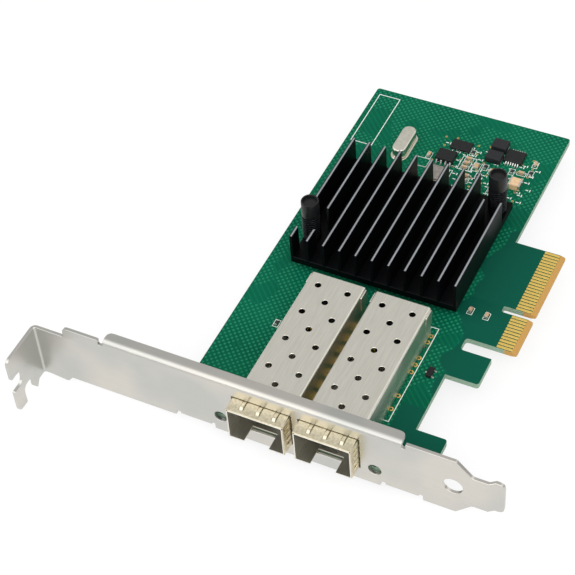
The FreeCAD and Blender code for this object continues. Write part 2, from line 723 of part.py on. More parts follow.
def tab_outline(neck_low, neck_top):
    """Screw tab seen from its side: two prongs about the open slot, a cut and a small finger."""
    reach = BRACKET_FRONT - S.tab_reach
    root = BRACKET_FRONT - S.bend_radius
    slot_y = BRACKET_FRONT - S.screw_slot_end - S.screw_slot / 2
    slot_low = S.screw_slot_height - S.screw_slot / 2
    slot_high = S.screw_slot_height + S.screw_slot / 2
    cut_near = BRACKET_FRONT - S.tab_cut
    cut_far = cut_near - S.tab_cut_width
    cut_round = -S.tab_cut_top - S.tab_cut_width / 2
    return [
        (root, neck_low),
        (BRACKET_FRONT - S.tab_finger, neck_low),
        ((BRACKET_FRONT - S.tab_finger + cut_near) / 2, -S.tab_drop, S.bend_radius),
        (cut_near, neck_low),
        (cut_near, cut_round),
        Arc((cut_near + cut_far) / 2, cut_round, False),
        (cut_far, cut_round),
        (cut_far, -S.tab_drop),
        (reach, -S.tab_drop, S.tab_round),
        (reach, slot_low),
        (slot_y, slot_low),
        Arc(slot_y, S.screw_slot_height, False),
        (slot_y, slot_high),
        (reach, slot_high),
        (reach, neck_top, S.tab_round),
        (root, neck_top),
    ]


def face_openings(middle):
    """Windows for the cages, light holes and the round hole near the tongue."""
    margin = S.finger_sheet + S.finger_rise + S.window_gap
    shapes = []
    for centre in CAGE_X.values():
        left = centre - S.cage_width / 2 - margin
        right = centre + S.cage_width / 2 + margin
        shapes.append(box(left, right, S.cage_bottom - margin, S.cage_top + margin))
    for light_x in (LED_X, LED_X + LED_SPACING):
        shapes.append(Circle(light_x, S.led_hole_height, S.led_hole / 2))
    slide_x = -S.tip_to_tab + S.bracket_length - S.slide_hole_inset
    shapes.append(Circle(slide_x, middle, S.slide_hole / 2))
    return shapes


def make_screws():
    """Two pan-head screws from the component side into the ears' tapped collars."""
    body = new_body("bracket_screws", SCREW_X[0], SCREW_Y)
    end = -S.bracket_low
    profile = [
        (0, end),
        (S.screw_radius, end),
        (S.screw_radius, 0),
        (S.screw_head_radius, 0),
        (S.screw_head_radius, S.screw_head_height),
        (0, S.screw_head_height),
    ]
    repeat(body, turn(body, profile), "X", S.ear_spacing, 2)


def make_cage(side, centre):
    """Folded cage: roof, sides and rear wall with its lugs, vents in the roof, legs below."""
    body = new_body(side + "_cage_shell", centre)
    half = S.cage_width / 2
    inside = half - S.cage_sheet
    ceiling = S.cage_top - S.cage_sheet
    section = [
        (-half, S.cage_bottom),
        (-inside, S.cage_bottom),
        (-inside, ceiling),
        (inside, ceiling),
        (inside, S.cage_bottom),
        (half, S.cage_bottom),
        (half, S.cage_top, S.cage_round),
        (-half, S.cage_top, S.cage_round),
    ]
    add(body, "Y", CAGE_MOUTH, CAGE_REAR, [section])
    wall = box(-inside, inside, S.cage_bottom, ceiling)
    add(body, "Y", CAGE_REAR - S.cage_sheet, CAGE_REAR, [wall])
    lug_top = S.cage_top - S.cage_round
    lug_front = CAGE_REAR - S.lug_length
    for outer in (-half - S.cage_sheet, half):
        lug = box(lug_front, CAGE_REAR, S.lug_low, lug_top)
        add(body, "X", outer, outer + S.cage_sheet, [lug])
    leg_tip = BOARD_BACK - S.leg_tip
    legs = []
    for leg_x in (-half, inside):
        along = (LEG_Y - S.leg_width / 2, LEG_Y + S.leg_width / 2)
        legs.append(box(leg_x, leg_x + S.cage_sheet, *along))
    pair = add(body, "Z", leg_tip, S.cage_bottom, legs)
    repeat(body, pair, "Y", S.leg_spacing, S.leg_rows, reverse=True)
    first_y = CAGE_REAR - S.vent_first
    vents = [
        polygon(-S.vent_column, first_y, S.vent_radius, FEW_SIDES),
        polygon(0, first_y - S.vent_row / 2, S.vent_radius, FEW_SIDES),
        polygon(S.vent_column, first_y, S.vent_radius, FEW_SIDES),
    ]
    row = cut(body, "Z", ceiling, S.cage_top, vents)
    repeat(body, row, "Y", S.vent_row, S.vent_rows, reverse=True)


def make_cage_floor(side, centre):
    """Floor of a cage, with the notch and three-sided window that a module's latch uses."""
    body = new_body(side + "_cage_floor", centre)
    inside = S.cage_width / 2 - S.cage_sheet
    notch = S.latch_width / 2
    notch_rear = CAGE_MOUTH + S.latch_depth
    rear = SOCKET_FRONT - S.floor_gap
    outline = [
        (-inside, CAGE_MOUTH),
        (-notch, CAGE_MOUTH),
        (-notch, notch_rear),
        (notch, notch_rear),
        (notch, CAGE_MOUTH),
        (inside, CAGE_MOUTH),
        (inside, rear),
        (-inside, rear),
    ]
    window_front = notch_rear + S.latch_hole / 2
    window = [
        (-S.latch_hole / 2, window_front),
        (S.latch_hole / 2, window_front),
        (0, window_front + S.latch_hole),
    ]
    add(body, "Z", S.cage_bottom, S.cage_bottom + S.cage_sheet, [outline, window])


def finger(surface, out):
    """Section of one spring finger: it leaves a cage wall, crests in the window and returns."""
    start = CAGE_MOUTH + S.collar_start + S.collar_band
    end = BRACKET_BACK + S.finger_foot
    crest = surface + out * S.finger_rise
    lift = out * S.finger_sheet
    window = (BRACKET_FRONT + BRACKET_BACK) / 2
    return [
        (start, surface),
        (window, crest),
        (end, surface),
        (end, surface + lift),
        (window, crest + lift),
        (start, surface + lift),
    ]


def swapped(steps):
    return [(v, u) for u, v in steps]


def make_collar(side, centre):
    """Spring collar round the cage: a band at the mouth and fingers that press on the window.

    Its floor side is open over the latch notch, where a module's latch drops through.
    """
    body = new_body(side + "_spring_collar", centre)
    half = S.cage_width / 2
    outer = half + S.finger_sheet
    low = S.cage_bottom
    inner_band = box(-half, half, low, S.cage_top)
    band = box(-outer, outer, low - S.finger_sheet, S.cage_top + S.finger_sheet)
    band_start = CAGE_MOUTH + S.collar_start
    add(body, "Y", band_start, band_start + S.collar_band, [band, inner_band])
    gaps = (S.finger_count - 1) / 2
    left = -S.finger_pitch * gaps - S.finger_width / 2
    upright = [finger(S.cage_top, 1), finger(low, -1)]
    roof = add(body, "X", left, left + S.finger_width, upright)
    repeat(body, roof, "X", S.finger_pitch, S.finger_count)
    middle = (low + S.cage_top) / 2
    first = middle - S.side_finger_pitch * gaps - S.side_finger_width / 2
    level = [swapped(finger(half, 1)), swapped(finger(-half, -1))]
    sides = add(body, "Z", first, first + S.side_finger_width, level)
    repeat(body, sides, "Z", S.side_finger_pitch, S.finger_count)
    notch = S.latch_width / 2
    deepest = low - S.finger_rise - S.finger_sheet * 2
    cut(body, "Y", band_start, BRACKET_BACK + S.finger_foot, [box(-notch, notch, deepest, low)])


def make_socket(side, centre):
    """Socket at the back of a cage: a moulded block with the slot for a module's card edge."""
    body = new_body(side + "_socket", centre)
    outline = block(0, S.socket_height / 2, S.socket_width, S.socket_height)
    add(body, "Y", SOCKET_FRONT, SOCKET_REAR, [outline])
    slot_top = S.card_slot_low + S.card_slot_height
    half = S.card_slot_width / 2
    slot_rear = SOCKET_FRONT + S.card_slot_depth
    cut(body, "Y", SOCKET_FRONT, slot_rear, [box(-half, half, S.card_slot_low, slot_top)])
    upper_row = box(-half, half, slot_top - S.tail_thickness, slot_top)
    cut(body, "Y", slot_rear, SOCKET_REAR, [upper_row])


def make_socket_contacts(side, centre):
    """Contacts in two rows that foot on the board before and behind the socket."""
    body = new_body(side + "_socket_contacts", centre)
    thick = S.tail_thickness
    low = S.card_slot_low + thick
    high = S.card_slot_low + S.card_slot_height
    inner = SOCKET_FRONT + S.card_slot_depth * 0.8
    entry = SOCKET_FRONT + S.card_slot_depth * 0.2
    lower = [
        (SOCKET_FRONT - thick, 0),
        (SOCKET_FRONT, 0),
        (SOCKET_FRONT, S.card_slot_low),
        (inner, S.card_slot_low),
        (inner, low),
        (SOCKET_FRONT - thick, low),
    ]
    upper = [
        (SOCKET_REAR + thick, 0),
        (SOCKET_REAR + thick, high),
        (entry, high),
        (entry, high - thick),
        (SOCKET_REAR, high - thick),
        (SOCKET_REAR, 0),
    ]
    left = -S.socket_pitch * (S.row_contacts - 1) / 2 - S.tail_width / 2
    pair = add(body, "X", left, left + S.tail_width, [lower, upper])
    repeat(body, pair, "X", S.socket_pitch, S.row_contacts)


def make_heatsink():
    """Finned heatsink: base and fins, with pockets in the fins and holes for the pins."""
    body = new_body("heatsink", HEATSINK_LEFT, HEATSINK_FRONT)
    width = (S.fin_count - 1) * S.fin_pitch + S.fin_thickness
    length = S.heatsink_length
    add(body, "Z", HEATSINK_LOW, BASE_TOP, [box(0, width, 0, length)])
    fin = box(0, S.fin_thickness, 0, length)
    repeat(body, add(body, "Z", BASE_TOP, S.heatsink_top, [fin]), "X", S.fin_pitch, S.fin_count)
    pockets = []
    holes = []
    for end in ("front", "rear"):
        pin_x = PIN_X[end] - HEATSINK_LEFT
        pin_y = PIN_Y[end] - HEATSINK_FRONT
        pockets.append(Circle(pin_x, pin_y, S.pin_pocket_radius))
        holes.append(polygon(pin_x, pin_y, S.pin_radius + S.pin_clearance, FEW_SIDES))
    cut(body, "Z", BASE_TOP, S.heatsink_top, pockets)
    cut(body, "Z", HEATSINK_LOW, BASE_TOP, holes)


def make_controller():
    """Controller chip: a laminate square under a smaller moulded cap."""
    body = new_body("controller_chip", CHIP_X, CHIP_Y)
    step = S.chip_height / 2
    cap = S.chip_side - S.chip_height
    add(body, "Z", 0, step, [block(0, 0, S.chip_side, S.chip_side)])
    add(body, "Z", step, S.chip_height, [block(0, 0, cap, cap)])


def make_thermal_pad():
    body = new_body("thermal_pad", CHIP_X, CHIP_Y)
    side = S.chip_side - S.chip_height * 2
    add(body, "Z", S.chip_height, HEATSINK_LOW, [block(0, 0, side, side)])


def make_push_pin(end):
    """Moulded push pin: head, shank and a barb that snaps under the board."""
    body = new_body(end + "_push_pin", PIN_X[end], PIN_Y[end])
    head_low = S.pin_top - S.pin_head_height
    barb_tip = BOARD_BACK - S.barb_length
    profile = [
        (0, barb_tip),
        (S.pin_radius / 2, barb_tip),
        (S.barb_radius, BOARD_BACK),
        (S.pin_radius, BOARD_BACK),
        (S.pin_radius, head_low),
        (S.pin_head_radius, head_low),
        (S.pin_head_radius, S.pin_top),
        (0, S.pin_top),
    ]
    turn(body, profile)


def make_pin_spring(end):
    """Coil spring of square wire, in short straight chords, under the head of a push pin."""
    low = value(BASE_TOP + S.spring_wire / 2)
    high = value(S.pin_top - S.pin_head_height - S.spring_wire / 2)
    chords = round(value(S.spring_turns) * CHORDS_PER_TURN)
    half = value(S.spring_wire) / 2
    rings = []
    for index in range(chords + 1):
        angle = 2 * math.pi * index / CHORDS_PER_TURN
        height = low + (high - low) * index / chords
        ring = []
        for side, lift in ((-half, -half), (half, -half), (half, half), (-half, half)):
            radius = value(S.spring_radius) + side
            spot = (radius * math.cos(angle), radius * math.sin(angle), height + lift)
            ring.append(FreeCAD.Vector(*spot))
        rings.append(ring)
    corners = [rings[0], rings[-1]]
    for ring, after in zip(rings, rings[1:]):
        for corner in range(4):
            beside = (corner + 1) % 4
            corners.append([ring[corner], ring[beside], after[beside]])
            corners.append([ring[corner], after[beside], after[corner]])
    faces = [Part.Face(Part.makePolygon(spots + spots[:1])) for spots in corners]
    coil = Part.makeSolid(Part.makeShell(faces))
    if coil.Volume < 0:
        coil.reverse()
    spring = doc.addObject("Part::Feature", end + "_pin_spring")
    spring.Label = end + "_pin_spring"
    spring.Shape = coil
    bind(spring, ".Placement.Base.x", PIN_X[end])
    bind(spring, ".Placement.Base.y", PIN_Y[end])
    nodes.append(spring)


def obround(length, radius):
    """Long rounded outline along v, about its own middle."""
    reach = length / 2 - radius
    return [
        (radius, -reach),
        (radius, reach),
        Arc(0, reach, False),
        (-radius, reach),
        (-radius, -reach),
        Arc(0, -reach, False),
    ]


def make_crystal():
    """Drawn crystal can on its wider base rim."""
    body = new_body("crystal_can", -S.can_x, S.can_y)
    radius = S.can_width / 2
    rim = obround(S.can_length + S.can_rim * 2, radius + S.can_rim)
    add(body, "Z", 0, S.can_rim_height, [rim])
    add(body, "Z", S.can_rim_height, S.can_height, [obround(S.can_length, radius)])


def make_oscillator():
    """Clock oscillator: ceramic base with a sealed lid."""
    body = new_body("clock_oscillator", -S.oscillator_x, S.oscillator_y)
    seam = S.oscillator_height * 0.7
    lid = S.oscillator_height * 0.4
    base = block(0, 0, S.oscillator_width, S.oscillator_length)
    cap = block(0, 0, S.oscillator_width - lid, S.oscillator_length - lid)
    add(body, "Z", 0, seam, [base])
    add(body, "Z", seam, S.oscillator_height, [cap])


def gull_wing(edge, out, lead_height, reach):
    """Section of a chip lead that leaves the body, slopes down and foots on the board."""
    thick = S.lead_thickness
    knee = edge + out * reach * 0.5
    foot = edge + out * reach
    return [
        (edge, lead_height),
        (knee, thick),
        (foot, thick),
        (foot, 0),
        (knee - out * thick, 0),
        (edge, lead_height - thick),
    ]


def make_leaded_chip(label, x, y, length, width, height, leads, pitch, lead_width):
    """Moulded chip with a bevelled body and a row of leads along each long side."""
    body = new_body(label, x, y)
    stand = S.lead_thickness * 0.6
    add(body, "Z", stand, height, [block(0, 0, length, width)])
    top = value(height)
    soften(body, S.lead_thickness * 1.5, lambda middle, way: abs(middle.z - top) < NEAR, "Chamfer")
    left = -pitch * (as_size(leads) - 1) / 2 - lead_width / 2
    half = width / 2
    knee = height * 0.55
    rows = [gull_wing(half, 1, knee, S.lead_reach), gull_wing(-half, -1, knee, S.lead_reach)]
    pair = add(body, "X", left, left + lead_width, rows)
    repeat(body, pair, "X", pitch, leads)


def make_regulator():
    """Flat no-lead regulator chip."""
    body = new_body("regulator_chip", -S.regulator_x, S.regulator_y)
    add(body, "Z", 0, S.regulator_height, [block(0, 0, S.regulator_length, S.regulator_width)])
    top = value(S.regulator_height)
    soften(body, S.lead_thickness, lambda middle, way: abs(middle.z - top) < NEAR, "Chamfer")


def make_inductors():
    """Two moulded power inductors, side by side."""
    body = new_body("power_inductors", -S.inductor_x, S.inductor_y)
    outline = block(0, 0, S.inductor_length, S.inductor_width)
    choke = add(body, "Z", 0, S.inductor_height, [outline])
    repeat(body, choke, "Y", S.inductor_spacing, 2)
    top = value(S.inductor_height)
    soften(body, S.inductor_height / 8, lambda middle, way: abs(middle.z - top) < NEAR, "Chamfer")


def make_output_capacitor():
    body = new_body("output_capacitor", -S.output_capacitor_x, S.output_capacitor_y)
    side = S.output_capacitor_side
    add(body, "Z", 0, S.output_capacitor_height, [block(0, 0, side, side)])
    top = value(S.output_capacitor_height)
    soften(body, side / 16, lambda middle, way: abs(middle.z - top) < NEAR, "Chamfer")


def make_chip_parts(label, places, height):
    """Small chip parts of one kind, each a block lying along X or Y."""
    body = new_body(label)
    sizes = {
        "small": (S.small_chip_length, S.small_chip_width),
        "large": (S.large_chip_length, S.large_chip_width),
    }
    outlines = []
    for x, y, way, kind in places:
        length, width = sizes[kind]
        outlines.append(block(x, y, length, width) if way == "X" else block(x, y, width, length))
    add(body, "Z", 0, height, outlines)


def make_transistor():
    """Small three-lead transistor."""
    body = new_body("transistor", -S.transistor_x, -S.transistor_y)
    width = S.transistor_length / 2
    stand = S.lead_thickness * 0.6
    height = S.transistor_length / 3
    add(body, "Z", stand, height, [block(0, 0, width, S.transistor_length)])
    lead = S.leg_width / 2
    pair_y = S.transistor_length / 3
    wing = gull_wing(width / 2, 1, height * 0.55, S.lead_reach / 2)
    other = gull_wing(-width / 2, -1, height * 0.55, S.lead_reach / 2)
    for middle_y in (-pair_y, pair_y):
        add(body, "Y", middle_y - lead / 2, middle_y + lead / 2, [wing])
    add(body, "Y", -lead / 2, lead / 2, [other])


def make_leds():
    """Two indicators that shine out through the bracket's light holes."""
    body = new_body("status_leds", LED_X, BOARD_FRONT)
    gap = S.led_gap
    rear = gap + S.led_body * 0.8
    led = add(body, "Z", 0, S.led_body, [box(-S.led_body / 2, S.led_body / 2, gap, rear)])
    repeat(body, led, "X", LED_SPACING, 2)
    lens_front = gap - S.board_gap
    lens = add(body, "Y", lens_front, gap, [polygon(0, S.led_hole_height, S.led_lens_radius, FEW_SIDES)])
    repeat(body, lens, "X", LED_SPACING, 2)


make_board()
make_contacts("component_side_contacts", 0)
make_contacts("solder_side_contacts", BOARD_BACK - S.contact_thickness)
make_bracket()
make_screws()
for cage_side, cage_x in CAGE_X.items():
    make_cage(cage_side, cage_x)
    make_cage_floor(cage_side, cage_x)
    make_collar(cage_side, cage_x)
    make_socket(cage_side, cage_x)
    make_socket_contacts(cage_side, cage_x)
make_heatsink()
make_thermal_pad()
make_controller()
for pin_end in ("front", "rear"):
    make_push_pin(pin_end)
    make_pin_spring(pin_end)
make_crystal()
make_oscillator()
make_leaded_chip("flash_chip", -S.flash_x, S.flash_y, S.flash_length, S.flash_width, S.flash_height,
                 S.flash_leads, S.lead_pitch, S.lead_pitch / 3)
make_leaded_chip("power_controller_chip", -S.power_chip_x, S.power_chip_y, S.power_chip_length,
                 S.power_chip_width, S.power_chip_height, S.power_chip_leads, S.fine_lead_pitch,
                 S.fine_lead_pitch / 2.5)
make_regulator()
make_inductors()
make_output_capacitor()
make_chip_parts("chip_capacitors", CHIP_CAPACITORS, S.capacitor_height)
make_chip_parts("chip_resistors", CHIP_RESISTORS, S.resistor_height)
make_transistor()
make_leds()

doc.recompute()
for item in doc.Objects:
    if "Invalid" in item.State or "Error" in item.State:
        raise RuntimeError("%s did not build" % item.Label)
os.makedirs("parts", exist_ok=True)
for node in nodes:
    if node.Shape.isNull() or not node.Shape.isValid() or not node.Shape.Solids:
        raise RuntimeError("%s is not a sound solid" % node.Label)
for node in nodes:
    node.Shape.exportStep("parts/%s.step" % node.Label)
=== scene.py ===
"""Network interface card: a board with two transceiver cages, a finned heatsink and a full-height bracket."""
from math import cos, pi, radians, sin, sqrt, tan

import bmesh
import bpy
from mathutils import Matrix, Vector


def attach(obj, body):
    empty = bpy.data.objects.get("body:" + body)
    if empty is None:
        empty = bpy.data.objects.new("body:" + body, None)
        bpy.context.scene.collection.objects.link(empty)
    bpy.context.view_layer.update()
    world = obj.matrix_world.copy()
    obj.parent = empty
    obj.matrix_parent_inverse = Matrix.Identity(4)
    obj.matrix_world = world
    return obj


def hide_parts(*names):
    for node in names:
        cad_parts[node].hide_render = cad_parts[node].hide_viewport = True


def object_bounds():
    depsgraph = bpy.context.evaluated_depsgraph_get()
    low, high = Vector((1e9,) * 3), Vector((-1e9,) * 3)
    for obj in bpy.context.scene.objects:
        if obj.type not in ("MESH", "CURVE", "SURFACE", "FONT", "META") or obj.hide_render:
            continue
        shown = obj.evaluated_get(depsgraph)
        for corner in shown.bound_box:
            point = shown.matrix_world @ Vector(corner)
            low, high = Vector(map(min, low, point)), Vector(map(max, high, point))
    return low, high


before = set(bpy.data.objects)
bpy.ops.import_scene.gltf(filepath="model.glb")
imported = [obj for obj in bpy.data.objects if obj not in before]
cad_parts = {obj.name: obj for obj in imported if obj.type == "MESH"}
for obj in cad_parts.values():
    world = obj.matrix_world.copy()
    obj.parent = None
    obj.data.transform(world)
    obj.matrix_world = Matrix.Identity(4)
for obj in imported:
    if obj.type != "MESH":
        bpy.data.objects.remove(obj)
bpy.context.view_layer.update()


# -------- circuit board
# The printed circuit board is woven glass in epoxy with copper on both faces, under a green
# solder mask and white ink. It is routed from a panel, so its edges are bare pale laminate.
# Everything else is soldered, screwed or snapped on to it.
MM = 0.001


def colour(code):
    """Turn an sRGB hex value into the linear colour that a shader takes."""
    parts = [int(code[place:place + 2], 16) / 255 for place in (1, 3, 5)]
    return [part / 12.92 if part <= 0.04045 else ((part + 0.055) / 1.055) ** 2.4 for part in parts] + [1]


def feed(item, **links):
    """Set a node's inputs, by name or by in0, in1 ... for their place.

    Each takes a number, a hex colour, an output, or another node for its first live output."""
    for name, source in links.items():
        key = int(name[2:]) if name[:2] == "in" and name[2:].isdigit() else name.replace("_", " ")
        if isinstance(source, bpy.types.Node):
            source = next(output for output in source.outputs if output.enabled)
        if isinstance(source, bpy.types.NodeSocket):
            item.id_data.links.new(source, item.inputs[key])
        else:
            is_colour = isinstance(source, str) and source[0] == "#"
            item.inputs[key].default_value = colour(source) if is_colour else source


def put(tree, kind, settings=None, **links):
    """Add a node with its settings and links."""
    item = tree.nodes.new(kind)
    for name, setting in (settings or {}).items():
        setattr(item, name, setting)
    feed(item, **links)
    return item


def drift(tree, place, scale, detail, stretch=(1, 1, 1)):
    """Noise at a place in mm, squeezed along each axis by stretch."""
    pulled = put(tree, "ShaderNodeMapping", Vector=place, Scale=stretch)
    return put(tree, "ShaderNodeTexNoise", Vector=pulled, Scale=scale, Detail=detail)


def finish(name, base, **sockets):
    """Start a material on its Principled shader; returns the material, its tree, shader and place in mm."""
    material = bpy.data.materials.new(name)
    material.use_nodes = True
    tree = material.node_tree
    shader = tree.nodes["Principled BSDF"]
    feed(shader, Base_Color=base, **sockets)
    material.diffuse_color = colour(base)
    place = put(tree, "ShaderNodeTexCoord").outputs["Object"]
    scaled = put(tree, "ShaderNodeMapping", Vector=place, Scale=(1000, 1000, 1000))
    return material, tree, shader, scaled


def grained(name, dark, light, size=0.4, detail=3.0, depth=0.01, stretch=(1, 1, 1), base=None, **sockets):
    """A material whose colour and height drift between two tones over grains of a size in mm."""
    material, tree, shader, place = finish(name, base or light, **sockets)
    grain = drift(tree, place, 1 / size, detail, stretch)
    tone = put(tree, "ShaderNodeMix", {"data_type": "RGBA"},
               in0=put(tree, "ShaderNodeMapRange", in0=grain, in1=0.3, in2=0.7), in6=dark, in7=light)
    feed(shader, Base_Color=tone, Normal=put(tree, "ShaderNodeBump", Height=grain, Distance=depth * MM))
    return material


def arc(x, y, radius, start, end, steps=12):
    """Points on an arc about a centre, its angles in degrees."""
    turn = [radians(start + (end - start) * step / steps) for step in range(steps + 1)]
    return [(x + radius * cos(angle), y + radius * sin(angle)) for angle in turn]


def circle(x, y, radius, steps=24):
    return arc(x, y, radius, 0, 360, steps)[:-1]


def rect(left, right, low, high):
    return [(left, low), (right, low), (right, high), (left, high)]


def rounded(points, radius, steps=4):
    """Round the corners of an outline; a point may carry its own radius as a third number."""
    result = []
    for index, point in enumerate(points):
        own = point[2] if len(point) > 2 else radius
        here = Vector(point[:2])
        before = Vector(points[index - 1][:2]) - here
        after = Vector(points[(index + 1) % len(points)][:2]) - here
        half = before.angle(after, pi) / 2
        reach = min(own / tan(half), before.length * 0.499, after.length * 0.499) if half < 1.57 else 0
        if reach < 1e-5:
            result.append(tuple(here))
            continue
        first = here + before.normalized() * reach
        last = here + after.normalized() * reach
        for step in range(steps + 1):
            part = step / steps
            spot = first * (1 - part) ** 2 + here * 2 * part * (1 - part) + last * part ** 2
            result.append(tuple(spot))
    return result


def placed(name, data):
    """Put a mesh, curve, camera or lamp in the scene as an object."""
    item = bpy.data.objects.new(name, data)
    bpy.context.scene.collection.objects.link(item)
    return item


def mesh_of(solid, name="shape"):
    """Write a shape out as mesh data."""
    mesh = bpy.data.meshes.new(name)
    solid.to_mesh(mesh)
    solid.free()
    return mesh


def drawn_line(outlines, dimensions="2D", closed=True):
    """A curve object through each outline's points, in mm."""
    curve = bpy.data.curves.new("outline", "CURVE")
    curve.dimensions = dimensions
    for outline in outlines:
        spline = curve.splines.new("POLY")
        spline.points.add(len(outline) - 1)
        for point, spot in zip(spline.points, outline):
            point.co = (*(*spot, 0)[:3], 1)
        spline.use_cyclic_u = closed
    return placed("outline", curve)


def taken(holder, *materials):
    """Take an object's finished shape, each face at its material's place in the list; the object goes."""
    source = holder.evaluated_get(bpy.context.evaluated_depsgraph_get()) if holder.modifiers else holder
    whole = bpy.data.meshes.new_from_object(source)
    places = [materials.index(material) if material in materials else 0 for material in whole.materials]
    solid = bmesh.new()
    solid.from_mesh(whole)
    for face in solid.faces:
        face.material_index = places[face.material_index] if face.material_index < len(places) else 0
    bpy.data.meshes.remove(whole)
    holder.modifiers.clear()
    (bpy.data.meshes if holder.type == "MESH" else bpy.data.curves).remove(holder.data)
    return solid


def outward(solid):
    """Turn every face of a closed shape outwards."""
    bmesh.ops.recalc_face_normals(solid, faces=solid.faces)
    return solid


def plate(outlines, low, high, edge=0.05, steps=1):
    """A flat plate with holes: closed outlines in mm, thickness low to high, its rims eased by edge."""
    holder = drawn_line(outlines)
    curve = holder.data
    curve.fill_mode = "BOTH"
    curve.extrude = (high - low) / 2 - edge
    curve.bevel_depth = edge
    curve.bevel_resolution = steps - 1
    curve.offset = -edge
    solid = taken(holder)
    bmesh.ops.remove_doubles(solid, verts=solid.verts, dist=0.002)
    return outward(moved(solid, z=(low + high) / 2))


def sliced(solid, spot, way):
    """Cut every face and edge where a plane at a spot, facing a way, crosses them."""
    everything = solid.verts[:] + solid.edges[:] + solid.faces[:]
    bmesh.ops.bisect_plane(solid, geom=everything, plane_co=spot, plane_no=way)


def stood(solid, axes):
    """Lay a shape's own three directions along the named axes, as in "xzy"."""
    for vert in solid.verts:
        vert.co = [vert.co[axes.index(letter)] for letter in "xyz"]
    return outward(solid)


def moved(solid, x=0.0, y=0.0, z=0.0):
    """Shift a shape, in mm."""
    bmesh.ops.translate(solid, verts=solid.verts, vec=(x, y, z))
    return solid


def tinted(solid, place):
    """Give every face of a shape the material in that place of its piece's list."""
    for face in solid.faces:
        face.material_index = place
    return solid


def merged(*solids):
    """Join several shapes into one."""
    whole = bmesh.new()
    for solid in solids:
        carrier = mesh_of(solid)
        whole.from_mesh(carrier)
        bpy.data.meshes.remove(carrier)
    return whole


def piece(name, node, slot, solid, *materials, smooth=35):
    """Finish a shape in mm as an object in metres that stands for its CAD node and rides with the card."""
    for vert in solid.verts:
        vert.co *= MM
    for edge in solid.edges:
        soft = len(edge.link_faces) != 2 or edge.calc_face_angle(0) < radians(smooth)
        edge.smooth = soft and not edge.is_boundary
    for face in solid.faces:
        face.smooth = True
    item = placed(name, mesh_of(solid, name))
    for material in materials:
        item.data.materials.append(material)
    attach(item, "root")
    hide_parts(node)


tip_to_edge = 68.9
board_thick = 1.57
board_front = -55.69
board_rear = 62.8
main_edge = -13.3
short_end = -12.075
long_end = 22.075
tip = -0.02
key_half = 0.95
key_root = -8.2
foot = -5.4
foot_rear = -42.19
hook = -4.9
hook_wide = 8.6
slot_wide = 3.8
slot_root = main_edge + 0.35
slot_sides = slot_root + slot_wide / 2
hook_rear = short_end - slot_wide
hook_front = hook_rear - hook_wide
pin_hole = 1.62
screws_at = [(-63.3, -49.55), (-10.5, -49.55)]
pins_at = [(-59.7, 1.0), (-20.3, 27.0)]
cages_at = [-45.05, -28.2]
legs_at = [(centre + side * 6.95, y) for centre in cages_at for side in (-1, 1) for y in (-18.4, -46.4)]
board_outline = rounded([
    (-tip_to_edge, board_front, 0.8), (foot, board_front, 0.8), (foot, foot_rear, 0.8),
    (main_edge, foot_rear, 0), (main_edge, hook_front, 0), (hook, hook_front, 0.8), (hook, hook_rear, 0.2),
    (slot_sides, hook_rear, 1.89), (slot_root, hook_rear, 1.89), (slot_root, short_end, 1.89),
    (slot_sides, short_end, 0), (tip, short_end, 0.3), (tip, -key_half, 0.3),
    (key_root + key_half, -key_half, 0), (key_root, -key_half, 0.94), (key_root, key_half, 0.94),
    (key_root + key_half, key_half, 0), (tip, key_half, 0.3), (tip, long_end, 0.3),
    (main_edge, long_end, 0), (main_edge, board_rear, 0.8), (-tip_to_edge, board_rear, 0.8)], 0)
board_holes = [circle(x, y, 1.4) for x, y in screws_at] + [circle(x, y, pin_hole) for x, y in pins_at]
board_holes += [circle(x, y, 0.6, 12) for x, y in legs_at]
laminate = plate([board_outline] + board_holes, -board_thick, 0, 0.03)
half_thick = board_thick / 2
bevel_long, bevel_deep = 1.3, 0.45
sliced(laminate, (-bevel_long, 0, 0), (1, 0, 0))
for vert in laminate.verts:
    past = vert.co.x + bevel_long
    if past > 0 and short_end - 0.1 < vert.co.y < long_end + 0.1:
        thinner = 1 - past / bevel_long * bevel_deep / half_thick
        vert.co.z = (vert.co.z + half_thick) * thinner - half_thick
for face in outward(laminate).faces:
    masked = abs(face.normal.z) > 0.97 and face.calc_center_median().x < 0.01 - bevel_long
    face.material_index = 0 if masked else 1

# Solder mask: glossy green lacquer curtain-coated over etched copper. The copper under it shows as
# lighter runs, and the lattice of small copper dots fills the empty areas. Behind the tongue and
# the foot there is no copper, so the strip along that edge is plain.
mask, tree, shader, place = finish("green_solder_mask", "#0A6045", Roughness=0.3, Specular_IOR_Level=0.04)
diagonal = put(tree, "ShaderNodeMapping", Vector=place, Rotation=(0, 0, radians(45)))
dots = put(tree, "ShaderNodeTexVoronoi", {"voronoi_dimensions": "2D"}, Vector=diagonal, Scale=0.9,
           Randomness=0.0)
dot = put(tree, "ShaderNodeMapRange", in0=dots, in1=0.36, in2=0.24)
areas = put(tree, "ShaderNodeTexNoise", {"noise_dimensions": "2D"}, Vector=place, Scale=0.09, Detail=1.0)
hatched = put(tree, "ShaderNodeMapRange", in0=areas, in1=0.4, in2=0.43)
ways = put(tree, "ShaderNodeSeparateXYZ", Vector=place).outputs
wander = put(tree, "ShaderNodeMath", {"operation": "MULTIPLY_ADD"}, in0=areas, in1=16.0, in2=ways[0])
past_tongue = put(tree, "ShaderNodeMapRange", in0=ways[1], in1=long_end + 4, in2=long_end + 5)
off_tongue = put(tree, "ShaderNodeMath", {"operation": "MAXIMUM"},
                 in0=put(tree, "ShaderNodeMapRange", in0=wander, in1=main_edge + 6.4, in2=main_edge + 5.8),
                 in1=past_tongue)
near_foot = put(tree, "ShaderNodeMapRange", in0=ways[1], in1=foot_rear + 6.6, in2=foot_rear + 6.0)
